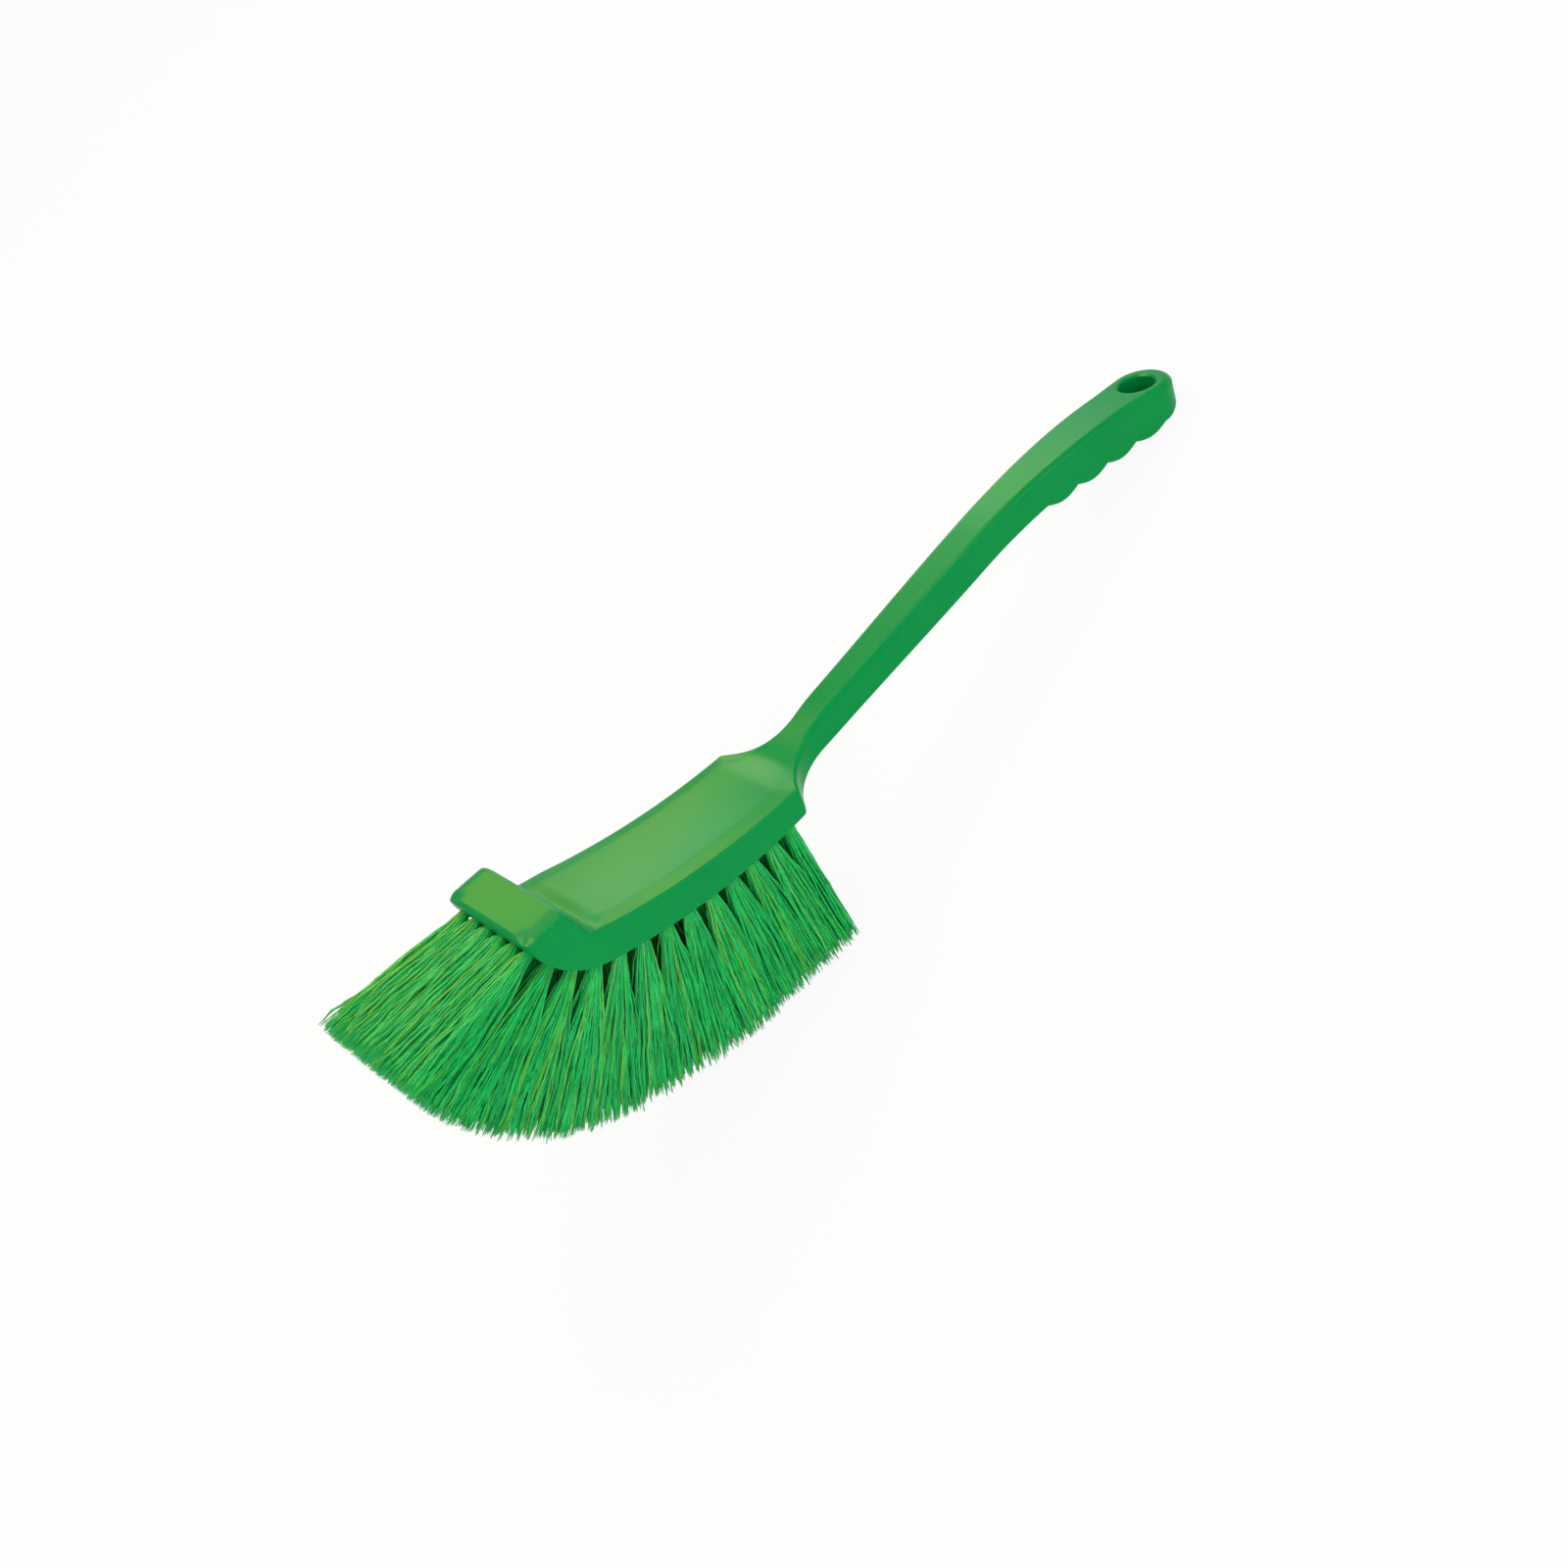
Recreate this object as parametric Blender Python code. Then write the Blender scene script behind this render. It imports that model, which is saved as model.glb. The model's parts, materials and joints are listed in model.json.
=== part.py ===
"""A hand brush for washing cars: one moulded body and fifty-nine filament tufts in its drilled holes.

The body is drawn with its head level: +X runs from the bar at the front to the hanging hole, +Z is up.
The whole brush is then tilted until it lies as it does on a table, on its rear bristles and its grip.
"""

import math
import random

import bmesh
import bpy
from mathutils import Matrix, Vector

MM = 0.001

# Lengths along the brush, from the front of the head to the end of the grip
BAR_LENGTH = 20.2 * MM
BAR_BACK_RUN = 6.8 * MM
HEAD_LENGTH = 144 * MM
NECK_LENGTH = 42 * MM
SHANK_LENGTH = 100 * MM
BEND_LENGTH = 108 * MM
LAND_LENGTH = 31.9 * MM

# Widths
HEAD_FRONT_WIDTH = 67.8 * MM
HEAD_REAR_WIDTH = 58.4 * MM
NECK_WIDTH = 17.4 * MM
SHANK_WIDTH = 21.6 * MM
GRIP_WIDTH = 28 * MM
EYE_WIDTH = 30.8 * MM
EYE_LEAD = 22 * MM
HEAD_CORNER_RADIUS = 5.5 * MM
SHOULDER_ROUNDING = 5 * MM
WAIST_RADIUS = 32 * MM
WAIST_SETBACK = 12 * MM

# Heights of the top line over the chord of the plate
BAR_RISE = 16 * MM
BAR_PITCH = math.radians(9)
BAR_EDGE_RADIUS = 2.5 * MM
BAR_CREST_BAND = 5.5 * MM
BAR_FOOT_BAND = 9 * MM
PLATE_SAG = 5.7 * MM
PLATE_RADIUS = 357 * MM
PLATE_LOW_POINT = 98 * MM
NECK_LEAD = 6 * MM
NECK_RISE = 12.9 * MM
SHANK_ANGLE = math.radians(15.8)

# Underside of the head
BLOCK_THICKNESS = 15.8 * MM
UNDERSIDE_RADIUS = 300 * MM
UNDERSIDE_LOW_POINT = 88 * MM
NOSE_RADIUS = 40 * MM
NOSE_LENGTH = 30.2 * MM
BLOCK_HEEL = 4 * MM
SHANK_DEPTH = 15 * MM
SHANK_END_DEPTH = 15.8 * MM

# Finger grip
FINGER_COUNT = 4
FINGER_PITCH = 19.8 * MM
FINGER_SWELL = 2.6 * MM
FINGER_SETBACK = 17.5 * MM
GRIP_DEPTH = 18 * MM
END_RISE = 4 * MM

# Edges of the moulding
BAR_END_WIDTH = 9 * MM
BAR_END_DROP = 3.2 * MM
HEAD_EDGE = 2.2 * MM
EDGE_RUNOUT = 14 * MM
HANDLE_EDGE_WIDTH = 3.1 * MM
HANDLE_EDGE_DROP = 3 * MM
BOTTOM_EDGE = 1.4 * MM
GRIP_BOTTOM_EDGE = 1.3 * MM
ROUND_EDGE_POWER = 2.0
FLAT_EDGE_POWER = 1.5

# Sloping border of the plate and the slight crown inside it
BORDER_WIDTH = 6.4 * MM
BORDER_RISE = 1.1 * MM
BORDER_LEAD = 9 * MM
PLATE_CROWN = 0.5 * MM

# Hanging hole
HANG_HOLE_RADIUS = 9.1 * MM
HANG_HOLE_SETBACK = 17.2 * MM
HANG_HOLE_CHAMFER = 0.9 * MM
HANG_HOLE_SIDES = 32

# Tuft holes and the folded roots in them
TUFT_ROWS = 13
RIM_TUFTS_ACROSS = 6
CORE_TUFTS_ACROSS = (3, 2)
CORE_ROWS = 10
FIRST_ROW_INSET = 6.7 * MM
LAST_ROW_INSET = 8 * MM
SIDE_ROW_INSET = 8 * MM
TUFT_HOLE_RADIUS = 2.6 * MM
TUFT_HOLE_DEPTH = 8 * MM
DRILL_POINT = 1.2 * MM
TUFT_HOLE_SIDES = 8
ROOT_SIDES = 6
ROOT_CLEARANCE = 0.35 * MM
ROOT_FOLD = 1.4 * MM
ROOT_STAND = 1.2 * MM
FOLD_SHARE = 0.45
CORE_PAIR_SHARE = 1.2

# Fan of the bristles, seen from the side, and the curve that they are trimmed to
FRONT_TUFT_ANGLE = math.radians(194)
REAR_TUFT_ANGLE = math.radians(277)
FAN_POWER = 2.08
TRIM_CENTRE_X = 75 * MM
TRIM_CENTRE_Z = 5 * MM
TRIM_HALF_LENGTH = 151 * MM
TRIM_HALF_HEIGHT = 101 * MM
TIP_SPREAD_SHARE = 1.36

# Strands of a tuft
STRAND_WIDTH = 1.35 * MM
STRAND_WIDTH_SHARES = (1.15, 1.0)
STRAND_LEVEL_SHARES = (0.34, 0.68, 1.0)
STRAND_REACH_SHARES = (1.0, 0.62)
STRAND_BASE_SHARE = 0.8
STRAND_TURN_SHARE = 0.5
ROOT_CELL_SHARE = 0.12
CELL_SHARE = 0.42
RAGGED_SHARE = 0.045
WAVE = 0.35 * MM

# Looks
BODY_COLOR = (0.004, 0.29, 0.066)
BODY_ROUGHNESS = 0.38
BRISTLE_COLOR = (0.012, 0.27, 0.055)
BRISTLE_ROUGHNESS = 0.5
SMOOTH_ANGLE = math.radians(32)

# Search for the rest pose
STEEPEST_TILT = math.radians(60)
TILT_HALVINGS = 40

# Spacing of the sections that the skin is drawn through
PLATE_STEP = 9 * MM
SHOULDER_STEP = 3 * MM
SHANK_STEP = 12 * MM
BEND_STEP = 10 * MM
FRONT_STEPS = 6
BAR_FLAT_STEPS = 2
BAR_BACK_STEPS = 12
FINGER_STEPS = 6
END_STEPS = 8
END_STOP = math.radians(80)
CUT_OVERRUN = 6 * MM

# Places along the brush that follow from the lengths
BAR_FOOT = BAR_LENGTH + BAR_BACK_RUN
NECK_START = HEAD_LENGTH + NECK_LEAD
SHANK_START = HEAD_LENGTH + NECK_LENGTH
BEND_START = SHANK_START + SHANK_LENGTH
LAND_START = BEND_START + BEND_LENGTH
BODY_LENGTH = LAND_START + LAND_LENGTH
WAIST = SHANK_START - WAIST_SETBACK
END_RADIUS = EYE_WIDTH / 2
END_CENTRE = BODY_LENGTH - END_RADIUS
EYE_START = END_CENTRE - EYE_LEAD
HANG_HOLE_CENTRE = BODY_LENGTH - HANG_HOLE_SETBACK
FINGER_END = BODY_LENGTH - FINGER_SETBACK
FINGER_START = FINGER_END - FINGER_COUNT * FINGER_PITCH


def mix(start, end, share):
    return start + (end - start) * share


def ease(value, start, end):
    """From 0 at start to 1 at end, with a soft beginning and end."""
    share = min(1, max(0, (value - start) / (end - start)))
    return share * share * (3 - 2 * share)


def soft_min(a, b, band):
    """The smaller of two lengths, rounded where they cross."""
    share = max(band - abs(a - b), 0) / band
    return min(a, b) - share * share * band / 4


def soft_max(a, b, band):
    """The larger of two heights, rounded where they cross."""
    return -soft_min(-a, -b, band)


def hermite(x, start, end, start_height, end_height, start_slope, end_slope):
    """Height on a cubic between two points with given slopes."""
    run = end - start
    t = (x - start) / run
    return (
        (2 * t**3 - 3 * t**2 + 1) * start_height
        + (t**3 - 2 * t**2 + t) * run * start_slope
        + (3 * t**2 - 2 * t**3) * end_height
        + (t**3 - t**2) * run * end_slope
    )


# Side profile of the body: the line of its top

SHANK_SLOPE = math.tan(SHANK_ANGLE)
BEND_RADIUS = BEND_LENGTH / math.sin(SHANK_ANGLE)


def plate_height(x):
    offset = x - PLATE_LOW_POINT
    return PLATE_RADIUS - PLATE_SAG - math.sqrt(PLATE_RADIUS**2 - offset**2)


def plate_slope(x):
    offset = x - PLATE_LOW_POINT
    return offset / math.sqrt(PLATE_RADIUS**2 - offset**2)


NECK_START_HEIGHT = plate_height(NECK_START)
SHANK_START_HEIGHT = NECK_START_HEIGHT + NECK_RISE
BEND_START_HEIGHT = SHANK_START_HEIGHT + SHANK_LENGTH * SHANK_SLOPE
LAND_HEIGHT = BEND_START_HEIGHT + BEND_RADIUS * (1 - math.cos(SHANK_ANGLE))


def bar_height(x):
    return BAR_RISE + (x - EDGE_CENTRE_X) * math.tan(BAR_PITCH)


def top_height(x):
    """The bar, its back, the plate, the neck, the straight shank, the bend and the land at the hole."""
    if x < NECK_START:
        back = bar_height(BAR_LENGTH) - (x - BAR_LENGTH) * BAR_BACK_SLOPE
        bar = soft_min(bar_height(x), back, BAR_CREST_BAND)
        return bar if x < BAR_LENGTH else soft_max(bar, plate_height(x), BAR_FOOT_BAND)
    if x < SHANK_START:
        return hermite(x, NECK_START, SHANK_START, NECK_START_HEIGHT, SHANK_START_HEIGHT,
                       plate_slope(NECK_START), SHANK_SLOPE)
    if x < BEND_START:
        return SHANK_START_HEIGHT + (x - SHANK_START) * SHANK_SLOPE
    if x < LAND_START:
        offset = LAND_START - x
        return LAND_HEIGHT - BEND_RADIUS + math.sqrt(BEND_RADIUS**2 - offset**2)
    return LAND_HEIGHT


# Side profile of the body: the line of its underside

UNDERSIDE_CENTRE_Z = UNDERSIDE_RADIUS - PLATE_SAG - BLOCK_THICKNESS
NOSE_JOIN_ANGLE = math.asin((UNDERSIDE_LOW_POINT - NOSE_LENGTH) / UNDERSIDE_RADIUS)
NOSE_CENTRE_X = NOSE_LENGTH + NOSE_RADIUS * math.sin(NOSE_JOIN_ANGLE)
NOSE_CENTRE_Z = UNDERSIDE_CENTRE_Z - (UNDERSIDE_RADIUS - NOSE_RADIUS) * math.cos(NOSE_JOIN_ANGLE)
HEEL = HEAD_LENGTH - BLOCK_HEEL

# The round at the bar's front edge touches the nose's arc from inside
EDGE_CENTRE_Z = BAR_RISE - BAR_EDGE_RADIUS
EDGE_CENTRE_X = NOSE_CENTRE_X - math.sqrt(
    (NOSE_RADIUS - BAR_EDGE_RADIUS) ** 2 - (NOSE_CENTRE_Z - EDGE_CENTRE_Z) ** 2
)
NOSE_TOP_ANGLE = math.atan2(NOSE_CENTRE_X - EDGE_CENTRE_X, NOSE_CENTRE_Z - EDGE_CENTRE_Z)
FRONT = EDGE_CENTRE_X - BAR_EDGE_RADIUS * math.sin(NOSE_TOP_ANGLE)
BAR_BACK_SLOPE = (bar_height(BAR_LENGTH) - plate_height(BAR_FOOT)) / BAR_BACK_RUN
BAR_CREST_START = BAR_LENGTH - BAR_CREST_BAND / BAR_BACK_SLOPE
BAR_FOOT_END = BAR_FOOT + BAR_FOOT_BAND / BAR_BACK_SLOPE


def block_underside(x):
    if x < NOSE_LENGTH:
        return NOSE_CENTRE_Z - math.sqrt(NOSE_RADIUS**2 - (NOSE_CENTRE_X - x) ** 2)
    return UNDERSIDE_CENTRE_Z - math.sqrt(UNDERSIDE_RADIUS**2 - (UNDERSIDE_LOW_POINT - x) ** 2)


def grip_underside(x):
    """The line that the cusps between the finger swells stand on."""
    start = top_height(FINGER_START) - SHANK_END_DEPTH
    end = LAND_HEIGHT - GRIP_DEPTH
    return mix(start, end, (x - FINGER_START) / (FINGER_END - FINGER_START))


def bottom_height(x):
    """The block's underside, the hollow of the neck, the shank, the finger swells and the raised end."""
    shank_bottom = SHANK_START_HEIGHT - SHANK_DEPTH
    if x < HEEL:
        return block_underside(x)
    if x < SHANK_START:
        slope = (x - UNDERSIDE_LOW_POINT) / UNDERSIDE_RADIUS
        return hermite(x, HEEL, SHANK_START, block_underside(HEEL), shank_bottom, slope, SHANK_SLOPE)
    if x < FINGER_START:
        share = (x - SHANK_START) / (FINGER_START - SHANK_START)
        return top_height(x) - mix(SHANK_DEPTH, SHANK_END_DEPTH, share)
    if x < FINGER_END:
        turn = math.pi * (x - FINGER_START) / FINGER_PITCH
        return grip_underside(x) - FINGER_SWELL * abs(math.sin(turn))
    return grip_underside(FINGER_END) + END_RISE * ease(x, FINGER_END, BODY_LENGTH)


# Plan of the body

def half_width(x):
    """Half the body's width: tapered head, rounded shoulders, waist, shank, grip, eye and round end."""
    if x < FRONT + HEAD_CORNER_RADIUS:
        offset = FRONT + HEAD_CORNER_RADIUS - x
        return HEAD_FRONT_WIDTH / 2 - HEAD_CORNER_RADIUS + math.sqrt(HEAD_CORNER_RADIUS**2 - offset**2)
    side = mix(HEAD_FRONT_WIDTH, HEAD_REAR_WIDTH, (x - FRONT) / (HEAD_LENGTH - FRONT)) / 2
    if x <= WAIST - WAIST_RADIUS:
        return side
    if x < WAIST:
        waist = NECK_WIDTH / 2 + WAIST_RADIUS - math.sqrt(WAIST_RADIUS**2 - (WAIST - x) ** 2)
        return soft_min(side, waist, SHOULDER_ROUNDING)
    if x > END_CENTRE:
        return math.sqrt(max(END_RADIUS**2 - (x - END_CENTRE) ** 2, 0))
    width = mix(NECK_WIDTH, SHANK_WIDTH, ease(x, WAIST, BEND_START))
    width = mix(width, GRIP_WIDTH, ease(x, BEND_START, LAND_START))
    return mix(width, EYE_WIDTH, ease(x, EYE_START, END_CENTRE)) / 2


def outline_distance(x, y):
    """How far a point of the plan lies inside the body's side or its round end."""
    if x > END_CENTRE:
        return END_RADIUS - math.hypot(x - END_CENTRE, y)
    return half_width(x) - abs(y)


def edge_round(distance, width, drop, power):
    """How far the skin falls below a flat face at a distance from the outline."""
    if distance >= width:
        return 0
    share = 1 - max(distance, 0) / width
    return drop * (1 - (1 - share**power) ** (1 / power))


def plate_share(x):
    """How far the plate's border and crown are raised at a place along the brush."""
    front = ease(x, BAR_FOOT, BAR_FOOT_END + BORDER_LEAD)
    rear = 1 - ease(x, HEAD_LENGTH - BORDER_LEAD, HEAD_LENGTH + BORDER_LEAD)
    return front * rear


TOP_RUN_SHARES = (0, 0.4, 0.75, 1)
EDGE_RUN_SHARES = (1, 0.62, 0.32, 0.1, 0)
BOTTOM_EDGE_SHARES = (0, 0.3, 1)
EDGE_HEIGHT_SHARE = 0.4
HANDLE_BORDER_SHARE = 0.12


def section(x):
    """Half a cross-section of the body as (y, z) points, from the middle of its top round to the underside."""
    top = top_height(x)
    bottom = bottom_height(x)
    if x < EDGE_CENTRE_X:
        top = EDGE_CENTRE_Z + math.sqrt(BAR_EDGE_RADIUS**2 - (EDGE_CENTRE_X - x) ** 2)
    width = half_width(x)
    handle_share = ease(x, HEAD_LENGTH, WAIST)
    plate_edge = ease(x, BAR_LENGTH, BAR_FOOT_END + EDGE_RUNOUT)
    edge_width = mix(mix(BAR_END_WIDTH, HEAD_EDGE, plate_edge), HANDLE_EDGE_WIDTH, handle_share)
    edge_drop = mix(mix(BAR_END_DROP, HEAD_EDGE, plate_edge), HANDLE_EDGE_DROP, handle_share)
    edge_drop = min(edge_drop, EDGE_HEIGHT_SHARE * (top - bottom))
    power = mix(ROUND_EDGE_POWER, FLAT_EDGE_POWER, handle_share)
    under_edge = min(mix(BOTTOM_EDGE, GRIP_BOTTOM_EDGE, handle_share), EDGE_HEIGHT_SHARE * (top - bottom))
    squeeze = min(1, EDGE_HEIGHT_SHARE * width / edge_width)
    inner = width - edge_width * squeeze
    border = mix(BORDER_WIDTH, HANDLE_BORDER_SHARE * inner, handle_share)
    points = []
    for share in TOP_RUN_SHARES:
        y = (inner - border) * share
        rise = (BORDER_RISE + PLATE_CROWN * (1 - share**2)) * plate_share(x)
        drop = edge_round(outline_distance(x, y), edge_width, edge_drop, power)
        points.append((y, top + rise - drop))
    for share in EDGE_RUN_SHARES:
        y = width - edge_width * squeeze * share
        drop = edge_round(outline_distance(x, y), edge_width, edge_drop, power)
        points.append((y, top - drop))
    under_squeeze = min(1, EDGE_HEIGHT_SHARE * width / under_edge)
    for share in BOTTOM_EDGE_SHARES:
        y = width - under_edge * under_squeeze * share
        rise = edge_round(outline_distance(x, y), under_edge, under_edge, ROUND_EDGE_POWER)
        points.append((y, bottom + rise))
    points.append((points[-1][0] / 2, bottom))
    points.append((0, bottom))
    return points


def steps(start, end, count):
    """Places from start up to, and not with, end."""
    return [mix(start, end, index / count) for index in range(count)]


def paces(start, end, pace):
    return steps(start, end, max(1, round((end - start) / pace)))


def body_stations():
    """Where along the brush the sections are taken, closer where the outline turns."""
    corner_end = FRONT + HEAD_CORNER_RADIUS
    stations = [
        corner_end - HEAD_CORNER_RADIUS * math.cos(math.radians(90) * index / FRONT_STEPS)
        for index in range(FRONT_STEPS)
    ]
    stations += steps(corner_end, BAR_CREST_START, BAR_FLAT_STEPS)
    stations += steps(BAR_CREST_START, BAR_FOOT_END, BAR_BACK_STEPS)
    stations += paces(BAR_FOOT_END, HEEL, PLATE_STEP)
    stations += paces(HEEL, WAIST, SHOULDER_STEP)
    stations += paces(WAIST, BEND_START, SHANK_STEP)
    stations += paces(BEND_START, FINGER_START, BEND_STEP)
    stations += steps(FINGER_START, FINGER_END, FINGER_COUNT * FINGER_STEPS)
    stations += [FINGER_END]
    stations += [
        END_CENTRE + END_RADIUS * math.sin(END_STOP * index / END_STEPS) for index in range(END_STEPS + 1)
    ]
    return sorted(stations)


def skin_mesh(name):
    """The body's closed skin, before its holes are drilled."""
    mesh = bmesh.new()
    rings = []
    for x in body_stations():
        half = section(x)
        mirrored = [(-y, z) for y, z in reversed(half[1:-1])]
        rings.append([mesh.verts.new((x, y, z)) for y, z in half + mirrored])
    for ring, following in zip(rings, rings[1:]):
        for index in range(len(ring)):
            after = (index + 1) % len(ring)
            mesh.faces.new((ring[index], following[index], following[after], ring[after]))
    mesh.faces.new(rings[0])
    mesh.faces.new(rings[-1])
    return mesh_from(mesh, name)


# Places and directions of the tufts

HEEL_ANGLE = math.asin((HEAD_LENGTH - UNDERSIDE_LOW_POINT) / UNDERSIDE_RADIUS)
NOSE_RUN = NOSE_RADIUS * (NOSE_TOP_ANGLE - NOSE_JOIN_ANGLE)
UNDERSIDE_RUN = NOSE_RUN + UNDERSIDE_RADIUS * (NOSE_JOIN_ANGLE + HEEL_ANGLE)
FIRST_ROW = FIRST_ROW_INSET
LAST_ROW = UNDERSIDE_RUN - LAST_ROW_INSET
ROW_PITCH = (LAST_ROW - FIRST_ROW) / (TUFT_ROWS - 1)
CORE_PITCH = (LAST_ROW - FIRST_ROW) / (CORE_ROWS + 1)
TUFT_PITCH = 2 * (HEAD_REAR_WIDTH / 2 - SIDE_ROW_INSET) / (RIM_TUFTS_ACROSS - 1)
ROOT_RADIUS = TUFT_HOLE_RADIUS * math.cos(math.pi / TUFT_HOLE_SIDES) - ROOT_CLEARANCE


def underside_point(run):
    """The point (x, z) of the underside's middle line at a distance along it from the front."""
    if run < NOSE_RUN:
        angle = NOSE_TOP_ANGLE - run / NOSE_RADIUS
        return (NOSE_CENTRE_X - NOSE_RADIUS * math.sin(angle), NOSE_CENTRE_Z - NOSE_RADIUS * math.cos(angle))
    angle = (run - NOSE_RUN) / UNDERSIDE_RADIUS - NOSE_JOIN_ANGLE
    x = UNDERSIDE_LOW_POINT + UNDERSIDE_RADIUS * math.sin(angle)
    return (x, UNDERSIDE_CENTRE_Z - UNDERSIDE_RADIUS * math.cos(angle))


def fan_angle(run):
    """Direction of the bristles in the side view, turning from forwards at the front to down at the rear."""
    share = max(0, 1 - (run - FIRST_ROW) / (LAST_ROW - FIRST_ROW))
    return REAR_TUFT_ANGLE - (REAR_TUFT_ANGLE - FRONT_TUFT_ANGLE) * share**FAN_POWER


def bristle_length(run):
    """Distance from the root to the trim curve, an ellipse, along the fan's direction."""
    x, z = underside_point(run)
    angle = fan_angle(run)
    across = Vector(((x - TRIM_CENTRE_X) / TRIM_HALF_LENGTH, (z - TRIM_CENTRE_Z) / TRIM_HALF_HEIGHT))
    along = Vector((math.cos(angle) / TRIM_HALF_LENGTH, math.sin(angle) / TRIM_HALF_HEIGHT))
    square = along.dot(along)
    linear = across.dot(along)
    return (math.sqrt(linear**2 - square * (across.dot(across) - 1)) - linear) / square


def fan_point(run, y, reach):
    """A point of the brush's pile: its root by run and y, and how far out it lies, from 0 to 1."""
    x, z = underside_point(run)
    angle = fan_angle(run)
    out = bristle_length(run) * reach
    spread = mix(1, TIP_SPREAD_SHARE, reach)
    return Vector((x + out * math.cos(angle), y * spread, z + out * math.sin(angle)))


def side_row_y(run):
    """Distance of the side rows from the middle; they follow the tapered sides."""
    return half_width(underside_point(run)[0] + HEAD_CORNER_RADIUS) - SIDE_ROW_INSET


def root_row(row, run, count, pitch, half_along):
    """Roots (run, y, half cell along, half cell across, number of the mirrored pair) of one row."""
    roots = []
    for column in range(count):
        pair = row * RIM_TUFTS_ACROSS + min(column, count - 1 - column)
        roots.append((run, pitch * (column - (count - 1) / 2), half_along, pitch / 2, pair))
    return roots


def rim_roots():
    """Roots of the outermost tufts, row by row."""
    roots = []
    for row in range(TUFT_ROWS):
        run = FIRST_ROW + row * ROW_PITCH
        if row in (0, TUFT_ROWS - 1):
            pitch = 2 * side_row_y(run) / (RIM_TUFTS_ACROSS - 1)
            roots += root_row(row, run, RIM_TUFTS_ACROSS, pitch, ROW_PITCH / 2)
        else:
            left, right = root_row(row, run, 2, 2 * side_row_y(run), ROW_PITCH / 2)
            roots += [(*left[:3], TUFT_PITCH / 2, left[4]), (*right[:3], TUFT_PITCH / 2, right[4])]
    return roots


def core_roots():
    """Roots of the tufts inside the rim, in rows of three and two by turns."""
    roots = []
    for row in range(CORE_ROWS):
        run = FIRST_ROW + (row + 1) * CORE_PITCH
        count = CORE_TUFTS_ACROSS[row % 2]
        pitch = 2 * side_row_y(run) / (CORE_TUFTS_ACROSS[0] + 1)
        if count < CORE_TUFTS_ACROSS[0]:
            pitch *= CORE_PAIR_SHARE
        roots += root_row(TUFT_ROWS + row, run, count, pitch, CORE_PITCH / 2)
    return roots


def tuft_axes(root):
    """A tuft's own directions: across the head, along the head and out along the bristles."""
    run, y = root[0], root[1]
    out = (fan_point(run, y, 1) - fan_point(run, y, 0)).normalized()
    angle = fan_angle(run)
    along = Vector((-math.sin(angle), 0, math.cos(angle)))
    along = (along - out * along.dot(out)).normalized()
    return along.cross(out), along, out


def tuft_matrix(root):
    across, along, out = tuft_axes(root)
    turn = Matrix((across, along, out)).transposed().to_4x4()
    return Matrix.Translation(fan_point(root[0], root[1], 0)) @ turn


# Holes drilled in the body

def ring_points(radius, z, sides, start_angle):
    points = []
    for index in range(sides):
        angle = start_angle + 2 * math.pi * index / sides
        points.append(Vector((radius * math.cos(angle), radius * math.sin(angle), z)))
    return points


def add_loops(mesh, loops):
    """Closed skin through rings of points; a ring of one point is a tip."""
    rings = [[mesh.verts.new(point) for point in loop] for loop in loops]
    for ring, following in zip(rings, rings[1:]):
        sides = max(len(ring), len(following))
        for index in range(sides):
            after = (index + 1) % sides
            corners = [ring[index % len(ring)], ring[after % len(ring)],
                       following[after % len(following)], following[index % len(following)]]
            mesh.faces.new(list(dict.fromkeys(corners)))
    for ring in (rings[0], rings[-1]):
        if len(ring) > 2:
            mesh.faces.new(ring)


def mesh_from(mesh, name):
    bmesh.ops.recalc_face_normals(mesh, faces=mesh.faces)
    data = bpy.data.meshes.new(name)
    mesh.to_mesh(data)
    mesh.free()
    return data


def tuft_drill_mesh(roots):
    """One drill for each tuft, along the tuft's own axis and pointed at its inner end."""
    mesh = bmesh.new()
    turn = math.pi / TUFT_HOLE_SIDES
    for root in roots:
        matrix = tuft_matrix(root)
        levels = [
            ring_points(TUFT_HOLE_RADIUS, CUT_OVERRUN, TUFT_HOLE_SIDES, turn),
            ring_points(TUFT_HOLE_RADIUS, -TUFT_HOLE_DEPTH, TUFT_HOLE_SIDES, turn),
            [Vector((0, 0, -TUFT_HOLE_DEPTH - DRILL_POINT))],
        ]
        add_loops(mesh, [[matrix @ point for point in level] for level in levels])
    return mesh_from(mesh, "tuft_drill")


def hang_hole_mesh():
    """A drill through the land near the handle's end, wider above to chamfer the upper rim."""
    mesh = bmesh.new()
    turn = math.pi / HANG_HOLE_SIDES
    wide = HANG_HOLE_RADIUS + HANG_HOLE_CHAMFER
    low = LAND_HEIGHT - GRIP_DEPTH - FINGER_SWELL - CUT_OVERRUN
    levels = (
        (HANG_HOLE_RADIUS, low),
        (HANG_HOLE_RADIUS, LAND_HEIGHT - HANG_HOLE_CHAMFER),
        (wide + CUT_OVERRUN, LAND_HEIGHT + CUT_OVERRUN),
    )
    place = Vector((HANG_HOLE_CENTRE, 0, 0))
    add_loops(mesh, [
        [place + point for point in ring_points(radius, z, HANG_HOLE_SIDES, turn)] for radius, z in levels
    ])
    return mesh_from(mesh, "hang_hole_drill")


# Materials

def plastic(name, color, roughness):
    material = bpy.data.materials.new(name)
    material.use_nodes = True
    shader = material.node_tree.nodes["Principled BSDF"]
    shader.inputs["Base Color"].default_value = (*color, 1)
    shader.inputs["Roughness"].default_value = roughness
    shader.inputs["Metallic"].default_value = 0
    return material


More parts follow.
